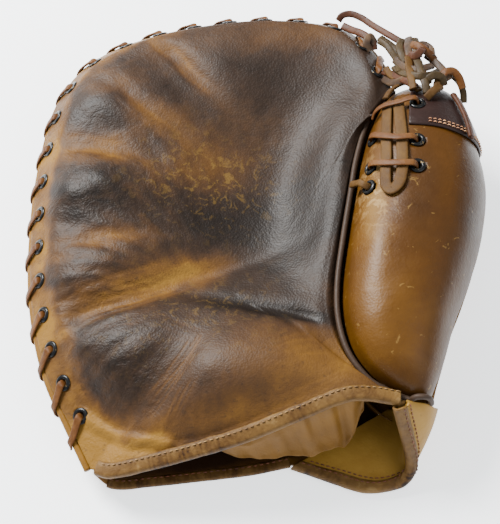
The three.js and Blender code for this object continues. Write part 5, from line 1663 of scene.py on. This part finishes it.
def free_strip(name, rows, width=4.0, thick=2.4, count=120, twist=0.0):
    """A lace that hangs between its ends along a table's places, turned along its length."""
    line = curved(points(X(rows["x"]), Y(rows["y"]), Z(rows["z"])), count)
    side, up = stationed(line, np.broadcast_to([-0.15, -0.45, 1.0], line.shape))
    turn = math.radians(twist) * np.sin(np.linspace(-1.5, 1.5, count))[:, None]
    side, up = side * np.cos(turn) + up * np.sin(turn), up * np.cos(turn) - side * np.sin(turn)
    return swept(name, line, side, up, rounded(width, thick))


web_laces = {1: red_lace, 2: olive_lace, 3: rawhide, 4: orange_lace}
for i, rows in web_rows.items():
    strip = free_strip(f"web_strip_{i}", rows, twist=12)
    finished(strip, web_laces[i], "rawhide" if i == 3 else "red_lace", f"web_lace_{i}")
finished(laid("web_strip_5", side_rows, 4, 2.6), red_lace, "red_lace", "web_lace_5")
knot_laces = {1: dark_lace, 2: olive_lace, 3: rawhide}
for i, rows in web_knot_rows.items():
    finished(free_strip(f"web_knot_strip_{i}", rows), knot_laces[i], "rawhide", f"web_knot_{i}")
for i, (name, (leather_of_lace, rows)) in enumerate(strand_rows.items()):
    strip = free_strip(f"web_{name}", table("x y z", rows), 4.5, 2.2, 100, 25 * math.sin(2.1 * i))
    finished(strip, leather_of_lace, "red_lace")

# The mitt lies on a plain pale floor, under one large soft light from the upper left and a weak
# fill from the right.
floor_reach = 4.0
floor_corners = [(floor_reach * x, floor_reach * y, 0) for x, y in ((-1, -1), (1, -1), (1, 1), (-1, 1))]
floor_mesh = bpy.data.meshes.new("floor")
floor_mesh.from_pydata(floor_corners, [], [(0, 1, 2, 3)])
floor = bpy.data.objects.new("floor", floor_mesh)
bpy.context.scene.collection.objects.link(floor)
floor_finish = Finish("pale_ground")
floor_glow = {"IOR": 1.2, "Emission Color": (0.95, 0.98, 1.0, 1), "Emission Strength": 1.5}
floor.data.materials.append(floor_finish.wear((0.92, 0.94, 0.96), 0.95, None, floor_glow))


def soft_light(name, place, target, power, wide, tint):
    """A square area light, aimed from one place at another."""
    data = bpy.data.lights.new(name, "AREA")
    data.energy = power
    data.size = wide
    data.color = tint
    lamp = bpy.data.objects.new(name, data)
    lamp.location = place
    lamp.rotation_euler = (Vector(target) - Vector(place)).to_track_quat("-Z", "Y").to_euler()
    bpy.context.scene.collection.objects.link(lamp)


soft_light("window", (-0.75, 0.65, 1.05), (0, 0, 0.03), 74, 0.55, (1.0, 0.99, 0.97))
soft_light("fill", (0.9, -0.6, 1.1), (0, 0, 0.03), 10, 1.2, (0.98, 0.99, 1.0))
world = bpy.data.worlds.new("soft_sky")
world.use_nodes = True
sky = world.node_tree.nodes["Background"].inputs
sky["Color"].default_value = (0.96, 0.98, 1.0, 1)
sky["Strength"].default_value = 0.75
bpy.context.scene.world = world
